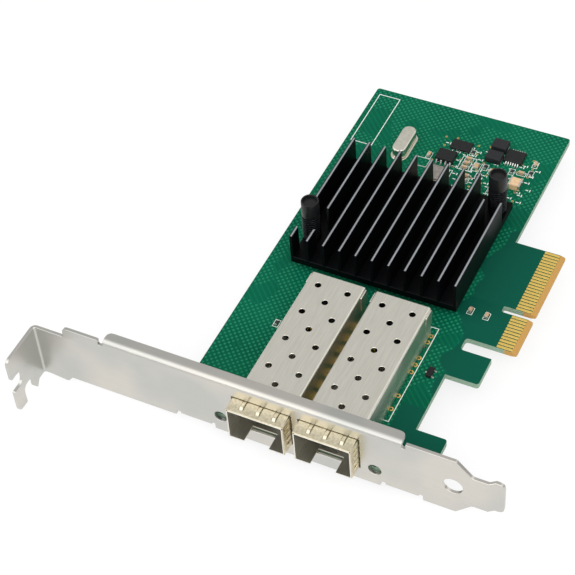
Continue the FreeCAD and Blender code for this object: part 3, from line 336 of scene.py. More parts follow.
by_foot = put(tree, "ShaderNodeMath", {"operation": "MULTIPLY"},
              in0=put(tree, "ShaderNodeMapRange", in0=ways[0], in1=-19.6, in2=-19.0), in1=near_foot)
inland = put(tree, "ShaderNodeMath", {"operation": "SUBTRACT", "use_clamp": True}, in0=off_tongue,
             in1=by_foot)
area = put(tree, "ShaderNodeMath", {"operation": "MULTIPLY"}, in0=hatched, in1=inland)
traces = put(tree, "ShaderNodeTexWave", {"bands_direction": "DIAGONAL", "wave_profile": "SIN"},
             Vector=place, Scale=0.35, Distortion=2.0, Detail_Scale=0.1).outputs[1]
trace = put(tree, "ShaderNodeMapRange", in0=traces, in1=0.7, in2=0.8)
dotted = put(tree, "ShaderNodeMath", {"operation": "MULTIPLY"}, in0=dot, in1=area)
traced = put(tree, "ShaderNodeMath", {"operation": "MULTIPLY"}, in0=trace,
             in1=put(tree, "ShaderNodeMath", {"operation": "SUBTRACT"}, in0=inland, in1=area))
cloud = drift(tree, place, 0.05, 2.0)
ground = put(tree, "ShaderNodeMix", {"data_type": "RGBA"}, in0=inland, in6="#0C5140",
             in7=put(tree, "ShaderNodeMix", {"data_type": "RGBA"},
                     in0=put(tree, "ShaderNodeMapRange", in0=cloud, in1=0.35, in2=0.65), in6="#03533D",
                     in7="#066146"))
with_dots = put(tree, "ShaderNodeMix", {"data_type": "RGBA"}, in0=dotted, in6=ground, in7="#207A59")
with_traces = put(tree, "ShaderNodeMix", {"data_type": "RGBA"},
                  in0=put(tree, "ShaderNodeMapRange", in0=traced, in1=0, in2=1, in4=0.3), in6=with_dots,
                  in7="#157753")
raised = put(tree, "ShaderNodeBump",
             Height=put(tree, "ShaderNodeMath", {"operation": "ADD"}, in0=dotted, in1=traced),
             Distance=0.04 * MM)
feed(shader, Base_Color=with_traces, Normal=raised)

# Bare glass-epoxy laminate: dry, pale grey-green and faintly layered where the router has cut it, and
# tan where the tongue's edge is ground to a bevel.
raw_edge, tree, shader, place = finish("glass_epoxy_edge", "#809A86", Roughness=0.7)
layers = put(tree, "ShaderNodeTexWave", {"bands_direction": "Z"}, Vector=place, Scale=1.6,
             Distortion=0.6).outputs[1]
cut = put(tree, "ShaderNodeMix", {"data_type": "RGBA"}, in0=layers, in6="#6F8A74", in7="#9BB39F")
toward_tip = put(tree, "ShaderNodeSeparateXYZ", Vector=place)
bevelled = put(tree, "ShaderNodeMix", {"data_type": "RGBA"},
               in0=put(tree, "ShaderNodeMapRange", in0=toward_tip, in1=-3.6, in2=-3.0), in6=cut,
               in7="#B98D48")
feed(shader, Base_Color=bevelled, Normal=put(tree, "ShaderNodeBump", Height=layers, Distance=0.02 * MM))

# White epoxy ink, screen printed: matt, slightly uneven, standing a little proud of the mask.
ink = grained("white_legend_ink", "#D3DCD5", "#EDF0EC", 0.35, 2.0, Roughness=0.6, Specular_IOR_Level=0.2)

# Gold over nickel on the bare copper of via rings and pads: warm, soft mirror.
pad_gold = grained("gold_plated_copper", "#D8AC58", "#F0CF86", 0.5, Metallic=1.0, Roughness=0.28)


def frame_line(left, right, low, high, width=0.22):
    """A printed rectangle: an outline and the same outline inset by the line's width."""
    return [rect(left, right, low, high), rect(left + width, right - width, low + width, high - width)]


def printed(outlines):
    """A layer so thin that it only just stands on the component face, cut to sets of outlines."""
    return merged(*[plate(outline, -0.01, 0.02, 0.004) for outline in outlines])


prints = [frame_line(-67.5, -61.3, 41, 60.6), frame_line(-22.1, -19.9, -42.7, -11.9)]
for edges in ((-48.6, -44.6, 38.6, 41.9), (-37.1, -33.2, 41.3, 46.5), (-44.0, -37.6, 33.2, 40.2),
              (-33.5, -31.3, 42.0, 45.2), (-29.0, -26.2, 42.3, 44.3)):
    prints.append(frame_line(*edges, 0.16))
capacitors_at = [(-15.2, -3.6, 90), (-10.9, -3.8, 90), (-45.6, 43.2, 90), (-35.2, 45.6, 0), (-35.2, 43.9, 0),
                 (-35.2, 42.2, 0), (-33.6, 39.4, 0), (-33.6, 37.7, 0), (-25.2, 42.8, 90), (-20.6, 45.6, 0),
                 (-18.4, 50.0, 90)]
resistors_at = [(-57.2, -25.4, 90), (-35.2, 48.3, 90), (-30.2, 44.4, 90), (-30.8, 40.6, 90), (-25.6, 39.6, 0),
                (-25.6, 37.9, 0), (-25.6, 36.2, 0), (-23.2, 45.4, 90), (-18.4, 46.4, 90)]
for x, y, turn_by in capacitors_at + resistors_at:
    long_half, wide_half = (0.75, 1.2) if turn_by else (1.2, 0.75)
    prints.append(frame_line(x - long_half, x + long_half, y - wide_half, y + wide_half, 0.15))
dash_step, dash_row_step = 2.2, 2.5
for column in range(12):
    for row in range(7):
        x = -42.6 + dash_step * column + 0.8 * sin(4 * row)
        y = 34.4 + dash_row_step * row + 0.9 * sin(3 * column)
        prints += [[rect(x, x + 0.8, y, y + 0.28)], [rect(x + 1.1, x + 1.35, y - 0.2, y + 0.6)]]
vias_x = -20.9
pads = [[circle(vias_x, y, 0.62, 16), circle(vias_x, y, 0.3, 12)]
        for y in (-14.8, -16.9, -22.2, -24.5, -26.9, -34.7, -38.9)]
via_step, via_row_step = 3.1, 3.2
for column in range(9):
    for row in range(6):
        x = -44.0 + via_step * column + 0.7 * sin(5 * row)
        y = 35.6 + via_row_step * row + 0.6 * sin(2 * column)
        pads.append([circle(x, y, 0.34, 12), circle(x, y, 0.15, 8)])
pad_step, pad_long = 3.9, 2.6
for row in range(9):
    pad_front = -51.5 + pad_step * row
    pads.append([rect(-37.35, -35.9, pad_front, pad_front + pad_long)])
board = merged(laminate, tinted(printed(prints), 2), tinted(printed(pads), 3))
piece("printed_circuit_board", "circuit_board", "solder_mask", board, mask, raw_edge, ink, pad_gold)


# -------- edge contacts
# Thirty-two gold fingers on each face carry power and signals into the slot. Each is copper
# plated with nickel and hard gold, and ends where the edge of the laminate is bevelled.
hard_gold, tree, shader, place = finish("hard_gold_plating", "#FFD870", Metallic=1.0)
polish = drift(tree, place, 2.0, 3.0, (0.25, 3.0, 1.0))
feed(shader,
     Base_Color=put(tree, "ShaderNodeMix", {"data_type": "RGBA"}, in0=polish, in6="#FFD05E", in7="#FFE48A"),
     Roughness=put(tree, "ShaderNodeMapRange", in0=polish, in1=0.1, in2=0.8, in4=0.7),
     Normal=put(tree, "ShaderNodeBump", Height=polish, Distance=0.01 * MM))


def workshop(name, **inputs):
    """Start a node tree that works on a shape; returns it, the shape and its named inputs in order."""
    tree = bpy.data.node_groups.new(name, "GeometryNodeTree")
    face = tree.interface
    face.new_socket("Geometry", in_out="OUTPUT", socket_type="NodeSocketGeometry")
    for label, kind in (("Geometry", "Geometry"), *inputs.items()):
        face.new_socket(label.replace("_", " "), in_out="INPUT", socket_type="NodeSocket" + kind)
    return (tree, *list(put(tree, "NodeGroupInput").outputs)[:-1])


def spread(tree, points, shape, **turn):
    """Set a shape out on points, as real geometry."""
    copies = put(tree, "GeometryNodeInstanceOnPoints", Points=points, Instance=shape, **turn)
    return put(tree, "GeometryNodeRealizeInstances", Geometry=copies)


def handed_over(tree, shape, material, **chosen):
    """End a node tree: give its shape, or the chosen part of it, a material and hand it over."""
    coated = put(tree, "GeometryNodeSetMaterial", Geometry=shape, Material=material, **chosen)
    put(tree, "NodeGroupOutput", Geometry=coated)
    return tree


def worked(holder, tree, materials, **sizes):
    """Run a node tree on an object, with its named inputs set, and take the plain shape."""
    step = holder.modifiers.new("step", "NODES")
    step.node_group = tree
    names = {item.name: item.identifier for item in tree.interface.items_tree if item.in_out == "INPUT"}
    for label, setting in sizes.items():
        step[names[label.replace("_", " ")]] = setting
    return taken(holder, *materials)


def repeater(material):
    """A node tree that sets one shape out in columns and rows."""
    tree, shape, columns, rows, column_pitch, row_pitch = workshop(
        "set_out_in_rows", Columns="Int", Rows="Int", Column_pitch="Float", Row_pitch="Float")
    along = put(tree, "GeometryNodeMeshLine", Count=columns,
                Offset=put(tree, "ShaderNodeCombineXYZ", in0=column_pitch))
    across = put(tree, "GeometryNodeMeshLine", Count=rows,
                 Offset=put(tree, "ShaderNodeCombineXYZ", in1=row_pitch))
    return handed_over(tree, spread(tree, spread(tree, along, across), shape), material)


def repeat(solid, material, columns=1, rows=1, column_pitch=0.0, row_pitch=0.0):
    """Set a shape in mm out in columns along X and rows along Y; returns the whole as one shape."""
    return worked(placed("unit", mesh_of(solid)), repeater(material), [material],
                  Columns=columns, Rows=rows, Column_pitch=column_pitch, Row_pitch=row_pitch)


finger_inner, finger_outer = -5.3, -1.3
finger_half, finger_thick = 0.36, 0.05
for node, low in (("component_side_contacts", 0.0), ("solder_side_contacts", -board_thick - finger_thick)):
    rows = []
    for first, count, step in ((-1.5, 11, -1), (1.5, 21, 1)):
        outline = rect(finger_inner, finger_outer, first - finger_half, first + finger_half)
        finger = plate([rounded(outline, 0.12, 2)], low, low + finger_thick, 0.02)
        rows.append(repeat(finger, hard_gold, rows=count, row_pitch=step))
    piece("gold_" + node, node, "gold", merged(*rows), hard_gold)


# -------- slot bracket
# The full-height bracket is one blank of mild steel, punched, folded and plated: a face with
# windows, a set-back tongue, a stiffening flange, a screw tab and two ears. Two screws through
# the board go into tapped collars on the ears.
sheet, inner_bend = 0.86, 0.6
bracket_front = -57.15
tab_face = -106.3
tongue_tip = tab_face + 120.02
face_wide = 18.42
face_low = -4.2
face_top = face_low + face_wide
face_middle = face_low + face_wide / 2


def folded(solid, way, line, side, up, inner, thick, keep=lambda co: True):
    """Fold a flat blank, its thickness from Z 0 up, square past a line that X (way 0) or Y (1) crosses."""
    steps = 6
    length = (inner + thick / 2) * pi / 2
    centre = thick + inner if up > 0 else -inner
    across = Vector((1, 0, 0)) if way == 0 else Vector((0, 1, 0))
    for step in range(steps + 1):
        sliced(solid, across * (line + side * length * step / steps), across)
    for vert in solid.verts:
        past = (vert.co[way] - line) * side
        if past > 0 and keep(vert.co):
            radius = abs(vert.co.z - centre)
            angle = min(past / length, 1) * pi / 2
            vert.co[way] = line + side * radius * sin(angle)
            vert.co.z = centre - up * (radius * cos(angle) - max(past - length, 0))
    return solid


bend_length = (inner_bend + sheet / 2) * pi / 2
outer_bend = inner_bend + sheet
tab_line = tab_face + outer_bend
tab_at = lambda reach: tab_line - bend_length - (reach - inner_bend)
tab_end = tab_at(12.2)
flange_deep = 3.4
flange_line = face_top - outer_bend
flange_end = flange_line + bend_length + flange_deep - outer_bend
ear_line = face_low + outer_bend
ear_at = lambda reach: ear_line - bend_length - (reach - outer_bend)
ear_end = ear_at(12.0)
flange_left = tab_face + 20
flange_right = tab_face + 96
neck_end = tab_face + 9
neck_top = face_top - 3.2
neck_low = face_low - 1.2
left_ear = -67.3
right_ear = -6.5
ear_width = 8
tongue_long, slope_long, tongue_half = 7.2, 3.9, 5.095
slope = tongue_tip - tongue_long - slope_long
tongue_low = face_middle - tongue_half
tongue_top = face_middle + tongue_half
slot_height, slot_half = 2.2, 2.21
slot_low, slot_top = slot_height - slot_half, slot_height + slot_half
hook_low = -7.3
cut_top = -1.9
relief_wide = 1.2


def ear_outline(right):
    """An ear below the face, from its right side to its left, with a notch at each side of its bend."""
    half = [(relief_wide, face_low, 0.3), (relief_wide, ear_line + 0.2, 0.3), (0, ear_line + 0.2, 0.2),
            (0, ear_end, 0.8)]
    other = [(-ear_width - x, y, radius) for x, y, radius in reversed(half)]
    return [(right + x, y, radius) for x, y, radius in half + other]


blank = rounded([
    (tab_at(2.5), neck_low, 0.3), (tab_at(3.75), hook_low, 0.3), (tab_at(5.0), neck_low, 0.3),
    (tab_at(5.0), cut_top, 1.79), (tab_at(8.6), cut_top, 1.79), (tab_at(8.6), hook_low, 0.3),
    (tab_end, hook_low, 1.6), (tab_end, slot_low, 0.5), (tab_at(8.2), slot_low, 2.2),
    (tab_at(8.2), slot_top, 2.2), (tab_end, slot_top, 0.5), (tab_end, neck_top, 1.6),
    (neck_end, neck_top, 0.6), (neck_end, face_top, 1.6), (flange_left - relief_wide, face_top, 0.3),
    (flange_left - relief_wide, flange_line - 0.2, 0.3), (flange_left, flange_line - 0.2, 0.3),
    (flange_left, flange_end, 1.6), (flange_right, flange_end, 1.6), (flange_right, flange_line - 0.2, 0.2),
    (flange_right + 0.9, flange_line - 0.2, 0.3), (flange_right + 0.9, face_top, 0.3),
    (slope, face_top, 0.6), (slope + slope_long, tongue_top, 1.6), (tongue_tip - 0.02, tongue_top, 1.6),
    (tongue_tip - 0.02, tongue_low, 1.6), (slope + slope_long, tongue_low, 1.6), (slope, face_low, 0.6),
    *ear_outline(right_ear), *ear_outline(left_ear + ear_width), (neck_end, face_low, 0.6),
    (neck_end - 1.46, neck_low - 0.6, 0.6), (tab_line + 1.46, neck_low, 0.3)], 0)
windows = [rounded(rect(centre - 7.62, centre + 7.62, -0.22, 10.37), 0.3) for centre in cages_at]
lights_at = (-56.225, -17.025)
lights = [circle(x, 1.0, 1.65) for x in lights_at]
slide_hole = circle(tongue_tip - 11.82, face_middle, 2.4, 28)
screw_holes = [circle(x, ear_at(7.6), 1.25, 20) for x, y in screws_at]
shape = plate([blank] + windows + lights + [slide_hole] + screw_holes, 0, sheet, 0.07)
in_flange = lambda co: flange_left - 0.05 < co.x < flange_right + 0.05
ear_sides = (left_ear, right_ear - ear_width)
in_ears = lambda co: any(ear - 0.05 < co.x < ear + ear_width + 0.05 for ear in ear_sides)
folded(shape, 1, flange_line, 1, 1, inner_bend, sheet, in_flange)
folded(shape, 1, ear_line, -1, 1, inner_bend, sheet, in_ears)
folded(shape, 0, tab_line, -1, -1, inner_bend, sheet)
stood(shape, "xzy")
joggle_start, joggle_long, joggle_deep = tongue_tip - 3.5, 1.3, 0.9
for step in (0, joggle_long):
    sliced(shape, (joggle_start + step, 0, 0), (1, 0, 0))
for vert in shape.verts:
    vert.co.y += bracket_front + joggle_deep * max(0, min(1, (vert.co.x - joggle_start) / joggle_long))
collars = [plate([circle(x, y, 2.38, 32), circle(x, y, 1.35, 20)], face_low + sheet - 0.05, -1.58, 0.06)
           for x, y in screws_at]

# Plated mild steel: a soft satin nickel-zinc skin that takes a pale even light, brightest on the bends.
plated, tree, shader, place = finish("satin_plated_steel", "#CBC8C1", Metallic=1.0, Roughness=0.3)
streak = drift(tree, place, 1.5, 4.0, (0.12, 2.0, 2.0))
patch = drift(tree, place, 0.06, 2.0)
tone = put(tree, "ShaderNodeMix", {"data_type": "RGBA"},
           in0=put(tree, "ShaderNodeMapRange", in0=patch, in1=0.35, in2=0.65), in6="#C3C3BE", in7="#D3CFC7")
rolled = put(tree, "ShaderNodeMix", {"data_type": "RGBA"},
             in0=put(tree, "ShaderNodeMapRange", in0=streak, in1=0.3, in2=0.7, in4=0.15), in6=tone,
             in7="#B9B7B0")
feed(shader, Base_Color=rolled, Normal=put(tree, "ShaderNodeBump", Height=streak, Distance=0.0015 * MM))
piece("slot_bracket_folded", "bracket", "bracket_steel", merged(shape, *collars), plated)


# -------- bracket screws
# Two zinc-plated pan-head machine screws, cold headed with a cross recess, go down through the
# board into the collars of the bracket's ears and clamp the board to them.
def turned(profile, steps=32):
    """Turn a profile of (radius, height) about Z, from its lowest point to its highest."""
    solid = bmesh.new()
    rings = []
    for radius, height in profile:
        if radius < 1e-6:
            rings.append([solid.verts.new((0, 0, height))] * steps)
        else:
            rings.append([solid.verts.new((x, y, height)) for x, y in circle(0, 0, radius, steps)])
    for lower, upper in zip(rings, rings[1:]):
        for index in range(steps):
            corners = []
            for corner in (lower[index - 1], lower[index], upper[index], upper[index - 1]):
                if corner not in corners:
                    corners.append(corner)
            solid.faces.new(corners)
    return outward(solid)


def carved(solid, cutter):
    """Cut one closed shape out of another."""
    block, tool = placed("block", mesh_of(solid)), placed("tool", mesh_of(cutter))
    cut = block.modifiers.new("cut", "BOOLEAN")
    cut.object = tool
    cut.solver = "EXACT"
    result = taken(block)
    bpy.data.meshes.remove(tool.data)
    return result


screw = turned([(0, -4.1), (1.0, -4.1), (1.24, -3.8), (1.24, 0), (2.35, 0), (2.48, 0.12), (2.48, 0.75),
                (2.3, 1.15), (1.9, 1.45), (1.3, 1.62), (0.6, 1.68), (0, 1.69)])
cross = [(-0.3, -1.3), (0.3, -1.3), (0.42, -0.42), (1.3, -0.3), (1.3, 0.3), (0.42, 0.42),
         (0.3, 1.3), (-0.3, 1.3), (-0.42, 0.42), (-1.3, 0.3), (-1.3, -0.3), (-0.42, -0.42)]
screw = moved(carved(screw, plate([cross], 0.7, 2.4, 0.02)), *screws_at[0])

# Bright zinc on steel: cool, fairly sharp reflections with fine turning marks.
zinc = grained("bright_zinc_plating", "#B7BABB", "#D8DADB", Metallic=1.0, Roughness=0.26)
screws = repeat(screw, zinc, columns=2, column_pitch=screws_at[1][0] - screws_at[0][0])
piece("pan_head_screws", "bracket_screws", "screw_steel", screws, zinc)


# -------- transceiver cages
# Each cage is one blank of thin nickel-plated copper alloy, pierced with vents, folded down both
# sides with a rear wall and small lugs, and pressed into the board on its legs.
cage_sheet, cage_bend = 0.3, 0.3
cage_top = 9.85
cage_mouth = -60.95
cage_rear = -14.4


def joined(tree, *shapes):
    """Several shapes as one."""
    whole = put(tree, "GeometryNodeJoinGeometry")
    for shape in shapes:
        feed(whole, in0=shape)
    return whole


def perforator(material):
    """A node tree that fills an outline, pierces staggered rows of round holes and gives it thickness."""
    tree, outline, radius, column_pitch, row_pitch, first_row, thickness, count = workshop(
        "pierced_sheet", Hole_radius="Float", Column_pitch="Float", Row_pitch="Float", First_row="Float",
        Thickness="Float", Rows="Int")
    three = put(tree, "GeometryNodeMeshLine", Count=3,
                Offset=put(tree, "ShaderNodeCombineXYZ", in0=column_pitch),
                Start_Location=put(tree, "ShaderNodeCombineXYZ",
                                   in0=put(tree, "ShaderNodeMath", {"operation": "MULTIPLY"},
                                           in0=column_pitch, in1=-1.0), in1=first_row))
    middle = put(tree, "FunctionNodeCompare", {"data_type": "INT", "operation": "EQUAL"},
                 in2=put(tree, "GeometryNodeInputIndex"), in3=1)
    row = put(tree, "GeometryNodeSetPosition", Geometry=three, Selection=middle,
              Offset=put(tree, "ShaderNodeCombineXYZ",
                         in1=put(tree, "ShaderNodeMath", {"operation": "MULTIPLY"}, in0=row_pitch, in1=-0.5)))
    rows = put(tree, "GeometryNodeMeshLine", Count=count,
               Offset=put(tree, "ShaderNodeCombineXYZ",
                          in1=put(tree, "ShaderNodeMath", {"operation": "MULTIPLY"}, in0=row_pitch,
                                  in1=-1.0)))
    ring = put(tree, "GeometryNodeCurvePrimitiveCircle", Resolution=20, Radius=radius)
    lines = joined(tree, spread(tree, spread(tree, rows, row), ring), outline)
    flat = put(tree, "GeometryNodeFillCurve", Curve=lines)
    upper = put(tree, "GeometryNodeExtrudeMesh", Mesh=flat, Offset_Scale=thickness, Individual=False)
    both = joined(tree, put(tree, "GeometryNodeFlipFaces", Mesh=flat), upper)
    welded = put(tree, "GeometryNodeMergeByDistance", Geometry=both, Distance=0.001)
    return handed_over(tree, welded, material)


def eased(solid, width, angle=50):
    """Ease every edge sharper than an angle by a small flat."""
    least = radians(angle)
    sharp = [edge for edge in solid.edges if len(edge.link_faces) == 2 and edge.calc_face_angle(0) > least]
    bmesh.ops.bevel(solid, geom=sharp, offset=width, segments=1, affect="EDGES", clamp_overlap=True)
    return solid


# Nickel over copper alloy: warm off-white satin metal with faint rolling lines, brighter where it folds.
nickel = grained("satin_nickel_sheet", "#DDDACE", "#E9E6DB", 1 / 1.5, 4.0, 0.0015, (2.0, 0.15, 2.0),
                 "#E2DFD3", Metallic=1.0, Roughness=0.34)

half_cage = 7.1
cage_line = half_cage - cage_bend - cage_sheet
cage_drop = (cage_bend + cage_sheet / 2) * pi / 2
side_edge = cage_line + cage_drop + (cage_top - cage_bend - cage_sheet - 0.3)
leg_long = 2.57
leg_edge = side_edge + leg_long
half_outline = [(side_edge, cage_mouth)]
for leg_y in (-46.4, -18.4):
    half_outline += [(side_edge, leg_y - 0.45), (leg_edge - 0.5, leg_y - 0.45), (leg_edge, leg_y - 0.15),
                     (leg_edge, leg_y + 0.15), (leg_edge - 0.5, leg_y + 0.45), (side_edge, leg_y + 0.45)]
half_outline += [(side_edge, cage_rear), (half_cage, cage_rear), (half_cage - 1.5, cage_rear)]
cage_outline = half_outline + [(-x, y) for x, y in reversed(half_outline)]

# Phosphor bronze spring strip under nickel: a straw tone, yellower than the cage it wraps.
spring_strip = grained("nickel_washed_spring_strip", "#D8CDAF", "#F8EFD6", 0.6, 4.0, Metallic=1.0,
                       Roughness=0.3)


def comb(start, end, tongues):
    """One side of a spring collar, flat on Z 0: a band slit into tongues that bow up and come back.

    Each tongue is its left and right sides, its rise, and the crest where it stands highest."""
    front, root, free = -60.75, -59.85, -55.74
    steps = 16
    outline = [(end, front), (start, front)]
    for left, right, rise, crest in tongues:
        outline += [(left, root), (left, free), (right, free), (right, root)]
    strip = plate([outline], 0, 0.15, 0.03)
    for step in range(1, steps):
        sliced(strip, (0, root + (free - root) * step / steps, 0), (0, 1, 0))
    for vert in strip.verts:
        for left, right, rise, crest in tongues:
            from_end = root if vert.co.y < crest else free
            along = (vert.co.y - from_end) / (crest - from_end)
            if along > 0 and left - 0.01 < vert.co.x < right + 0.01:
                vert.co.z += rise * sin(min(along, 1) * pi / 2) ** 2
    return outward(strip)


broad = (0.16, -56.72)
narrow_crest = -59.0


def row_of_tongues(half, count, pitch, narrow, gap, shift, rise):
    """Broad low tongues with narrow high ones between them, as (left, right, rise, crest) across a side."""
    middles = [shift + (index - (count - 1) / 2) * pitch for index in range(count)]
    ends = [-half] + [middle + way * (narrow / 2 + gap) for middle in middles for way in (-1, 1)] + [half]
    high = [(middle - narrow / 2, middle + narrow / 2, rise, narrow_crest) for middle in middles]
    return sorted(high + [(left, right, *broad) for left, right in zip(ends[::2], ends[1::2])])


def rotated(solid, quarter):
    """Turn a shape about Y by quarter turns."""
    bmesh.ops.rotate(solid, verts=solid.verts, matrix=Matrix.Rotation(quarter * pi / 2, 3, "Y"))
    return solid


for centre, side in zip(cages_at, ("left", "right")):
    shell = worked(drawn_line([cage_outline], "3D"), perforator(nickel), [nickel], Hole_radius=0.8,
                   Column_pitch=3.9, Row_pitch=9.05, First_row=cage_rear - 3.6, Thickness=cage_sheet, Rows=4)
    eased(shell, 0.05)
    folded(shell, 0, cage_line, 1, -1, cage_bend, cage_sheet)
    folded(shell, 0, -cage_line, -1, -1, cage_bend, cage_sheet)
    moved(shell, centre, 0, cage_top - cage_sheet)
    wall = plate([rect(centre - 6.78, centre + 6.78, 0.32, cage_top - cage_sheet + 0.02)],
                 cage_rear - cage_sheet, cage_rear, 0.04)
    stood(wall, "xzy")
    lug_outline = rounded(rect(cage_rear - 3.2, cage_rear, 4.6, cage_top - 0.6), 0.3)
    lugs = []
    for out in (centre - half_cage - 0.29, centre + half_cage - 0.01):
        lugs.append(stood(plate([lug_outline], out, out + cage_sheet, 0.04), "yzx"))
    piece(side + "_cage_pressing", side + "_cage_shell", "cage_steel", merged(shell, wall, *lugs), nickel)

    roof = moved(comb(-7.24, 7.24, row_of_tongues(7.1, 3, 4.12, 0.8, 0.18, 0.28, 0.5)), centre, 0, cage_top)
    collar = [roof]
    tall = (cage_top - cage_sheet) / 2
    for quarter, out in ((1, half_cage), (-1, -half_cage)):
        tongues = row_of_tongues(tall, 4, 1.9, 0.6, 0.14, 0, 0.28)
        upright = rotated(comb(-tall - 0.14, tall + 0.14, tongues), quarter)
        collar.append(moved(upright, centre + out, 0, cage_sheet + tall))
        way = out / half_cage
        low = [(*sorted((way * near, way * far)), rise, crest) for near, far, rise, crest in (
            (3.25, 4.6, *broad), (4.75, 5.35, 0.28, narrow_crest), (5.5, 7.1, *broad))]
        below = rotated(comb(*sorted((way * 3.22, way * 7.24)), sorted(low)), 2)
        collar.append(moved(below, centre, 0, cage_sheet))
    piece(side + "_collar_fingers", side + "_spring_collar", "spring_alloy", merged(*collar), spring_strip)


# -------- cage floors, sockets and their contacts
# Inside each cage a flat floor carries the latch window, and at the back stands a moulded socket
# of black glass-filled plastic whose two rows of gold contacts are soldered to the board.
def coat(node, material):
    """Give a frame node that keeps its own shape a finer material."""
    for slot_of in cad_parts[node].material_slots:
        slot_of.material = material


socket_black = grained("glass_filled_nylon", "#121213", "#202021", 0.25, depth=0.02, Roughness=0.5)
for side in ("left", "right"):
    coat(side + "_cage_floor", nickel)
    coat(side + "_socket", socket_black)
    coat(side + "_socket_contacts", hard_gold)


# -------- heatsink
# The heatsink is sawn from an aluminium extrusion of a base and eleven fins, pocketed round its
# two pins with an end mill, and then anodised black. It presses on the controller chip.
sink_left = -61.75
sink_width = 44.2
sink_front = -7.3
sink_rear = 30.9
base_low, base_top, fin_top = 2.3, 4.3, 11.6
fin_pitch, fin_thick = 4.35, 0.7
pocket = 4.8
sink_outline = rect(sink_left, sink_left + sink_width, sink_front, sink_rear)
base = plate([sink_outline] + [circle(x, y, pin_hole) for x, y in pins_at], base_low, base_top, 0.12)


def fin_runs(left):
    """Plan outlines of one fin: its whole length, less the pockets round the pins."""
    ends = []
    for edge in (left, left + fin_thick):
        runs = [(sink_front, sink_rear)]
        for x, y in pins_at:
            if abs(edge - x) < pocket:
                half = sqrt(pocket ** 2 - (edge - x) ** 2)
                before = [(low, min(high, y - half)) for low, high in runs]
                after = [(max(low, y + half), high) for low, high in runs]
                runs = [part for both in zip(before, after) for part in both if part[1] - part[0] > 0.3]
        ends.append(runs)
    return [[(left, low), (left + fin_thick, low_right), (left + fin_thick, high_right), (left, high)]
            for (low, high), (low_right, high_right) in zip(*ends)]


# Black anodised aluminium: deep black from the dyed oxide with a faint die line along the fins. Along one
# edge
# # of each sawn fin tip a thin grey painted highlight stands for the light that the tips catch.
anodised, tree, shader, place = finish("black_anodised_aluminium", "#070809", Roughness=0.4,
                                       Specular_IOR_Level=0.1)
lines = drift(tree, place, 2.0, 4.0, (2.0, 0.08, 2.0))
ways = put(tree, "ShaderNodeSeparateXYZ", Vector=place).outputs
fin_count = put(tree, "ShaderNodeMath", {"operation": "DIVIDE"},
                in0=put(tree, "ShaderNodeMath", {"operation": "SUBTRACT"}, in0=ways[0], in1=sink_left),
                in1=fin_pitch)
fin_part = fin_thick / fin_pitch
# painted highlight: picks a narrow band along one edge of each fin, across its thickness
highlit_tip_side = put(tree, "ShaderNodeMapRange",
                in0=put(tree, "ShaderNodeMath", {"operation": "FRACT"}, in0=fin_count), in1=0.3 * fin_part,
                in2=0.42 * fin_part)
# painted highlight: that band, kept to the top of the fins only
tip_highlight_mask = put(tree, "ShaderNodeMath", {"operation": "MULTIPLY"},
           in0=put(tree, "ShaderNodeMapRange", in0=ways[2], in1=fin_top - 0.09, in2=fin_top - 0.02),
           in1=highlit_tip_side)
body = put(tree, "ShaderNodeMix", {"data_type": "RGBA"}, in0=lines, in6="#020304", in7="#07080B")
# grey painted highlight colours laid on the fin tips
painted_tip_highlight = put(tree, "ShaderNodeMix", {"data_type": "RGBA"}, in0=lines, in6="#75787C", in7="#9EA1A5")
fin_tone = put(tree, "ShaderNodeMix", {"data_type": "RGBA"}, in0=tip_highlight_mask, in6=body, in7=painted_tip_highlight)
feed(shader, Base_Color=fin_tone, Normal=put(tree, "ShaderNodeBump", Height=lines, Distance=0.01 * MM))
fins = []
for index, like_it in ((0, 1), (1, 1), (9, 1), (10, 1), (2, 7)):
    for outline in fin_runs(sink_left + index * fin_pitch):
        fin = plate([outline], base_top - 0.1, fin_top, 0.09)
        fins.append(repeat(fin, anodised, columns=like_it, column_pitch=fin_pitch))
piece("finned_heatsink", "heatsink", "heatsink_black", merged(base, *fins), anodised)


# -------- controller chip and thermal pad
# The controller is a laminate chip carrier with a moulded cap; a soft grey silicone pad sits
# between it and the heatsink.
chip_black = grained("moulded_epoxy", "#101112", "#1E1F20", 0.2, depth=0.02, Roughness=0.55,
                     Specular_IOR_Level=0.3)
coat("controller_chip", chip_black)
coat("thermal_pad", grained("grey_silicone_pad", "#7B7F82", "#9CA0A2", 0.35, 4.0, 0.03, Roughness=0.8))


# -------- push pins and their springs
# Two moulded nylon pins with tall cupped heads pass through springs, heatsink and board; a split
# barb snaps open below and the blacked springs keep the heatsink pressed down.
nylon = grained("black_nylon", "#0C0D0E", "#17181A", 0.5, 2.0, 0.02, Roughness=0.38, Specular_IOR_Level=0.35)
black_wire = grained("oil_blacked_spring_wire", "#0E0F11", "#26272A", 0.5, Metallic=1.0, Roughness=0.35)
head_low = 12.2
pin_side = [(0, -3.86), (0.55, -3.86), (0.8, -3.7), (1.95, -1.75), (1.98, -1.6), (1.45, -1.55),
            (1.45, head_low), (2.15, 12.21), (2.28, 12.35), (2.29, 16.7), (2.2, 16.92), (2.02, 16.98),
            (1.86, 16.9), (1.8, 16.62), (1.78, 16.2), (0, 16.2)]
wire_thick, wire_radius, turns, around = 0.6, 2.075, 11, 24
wire_low, wire_high = base_top + wire_thick / 2, head_low - wire_thick / 2
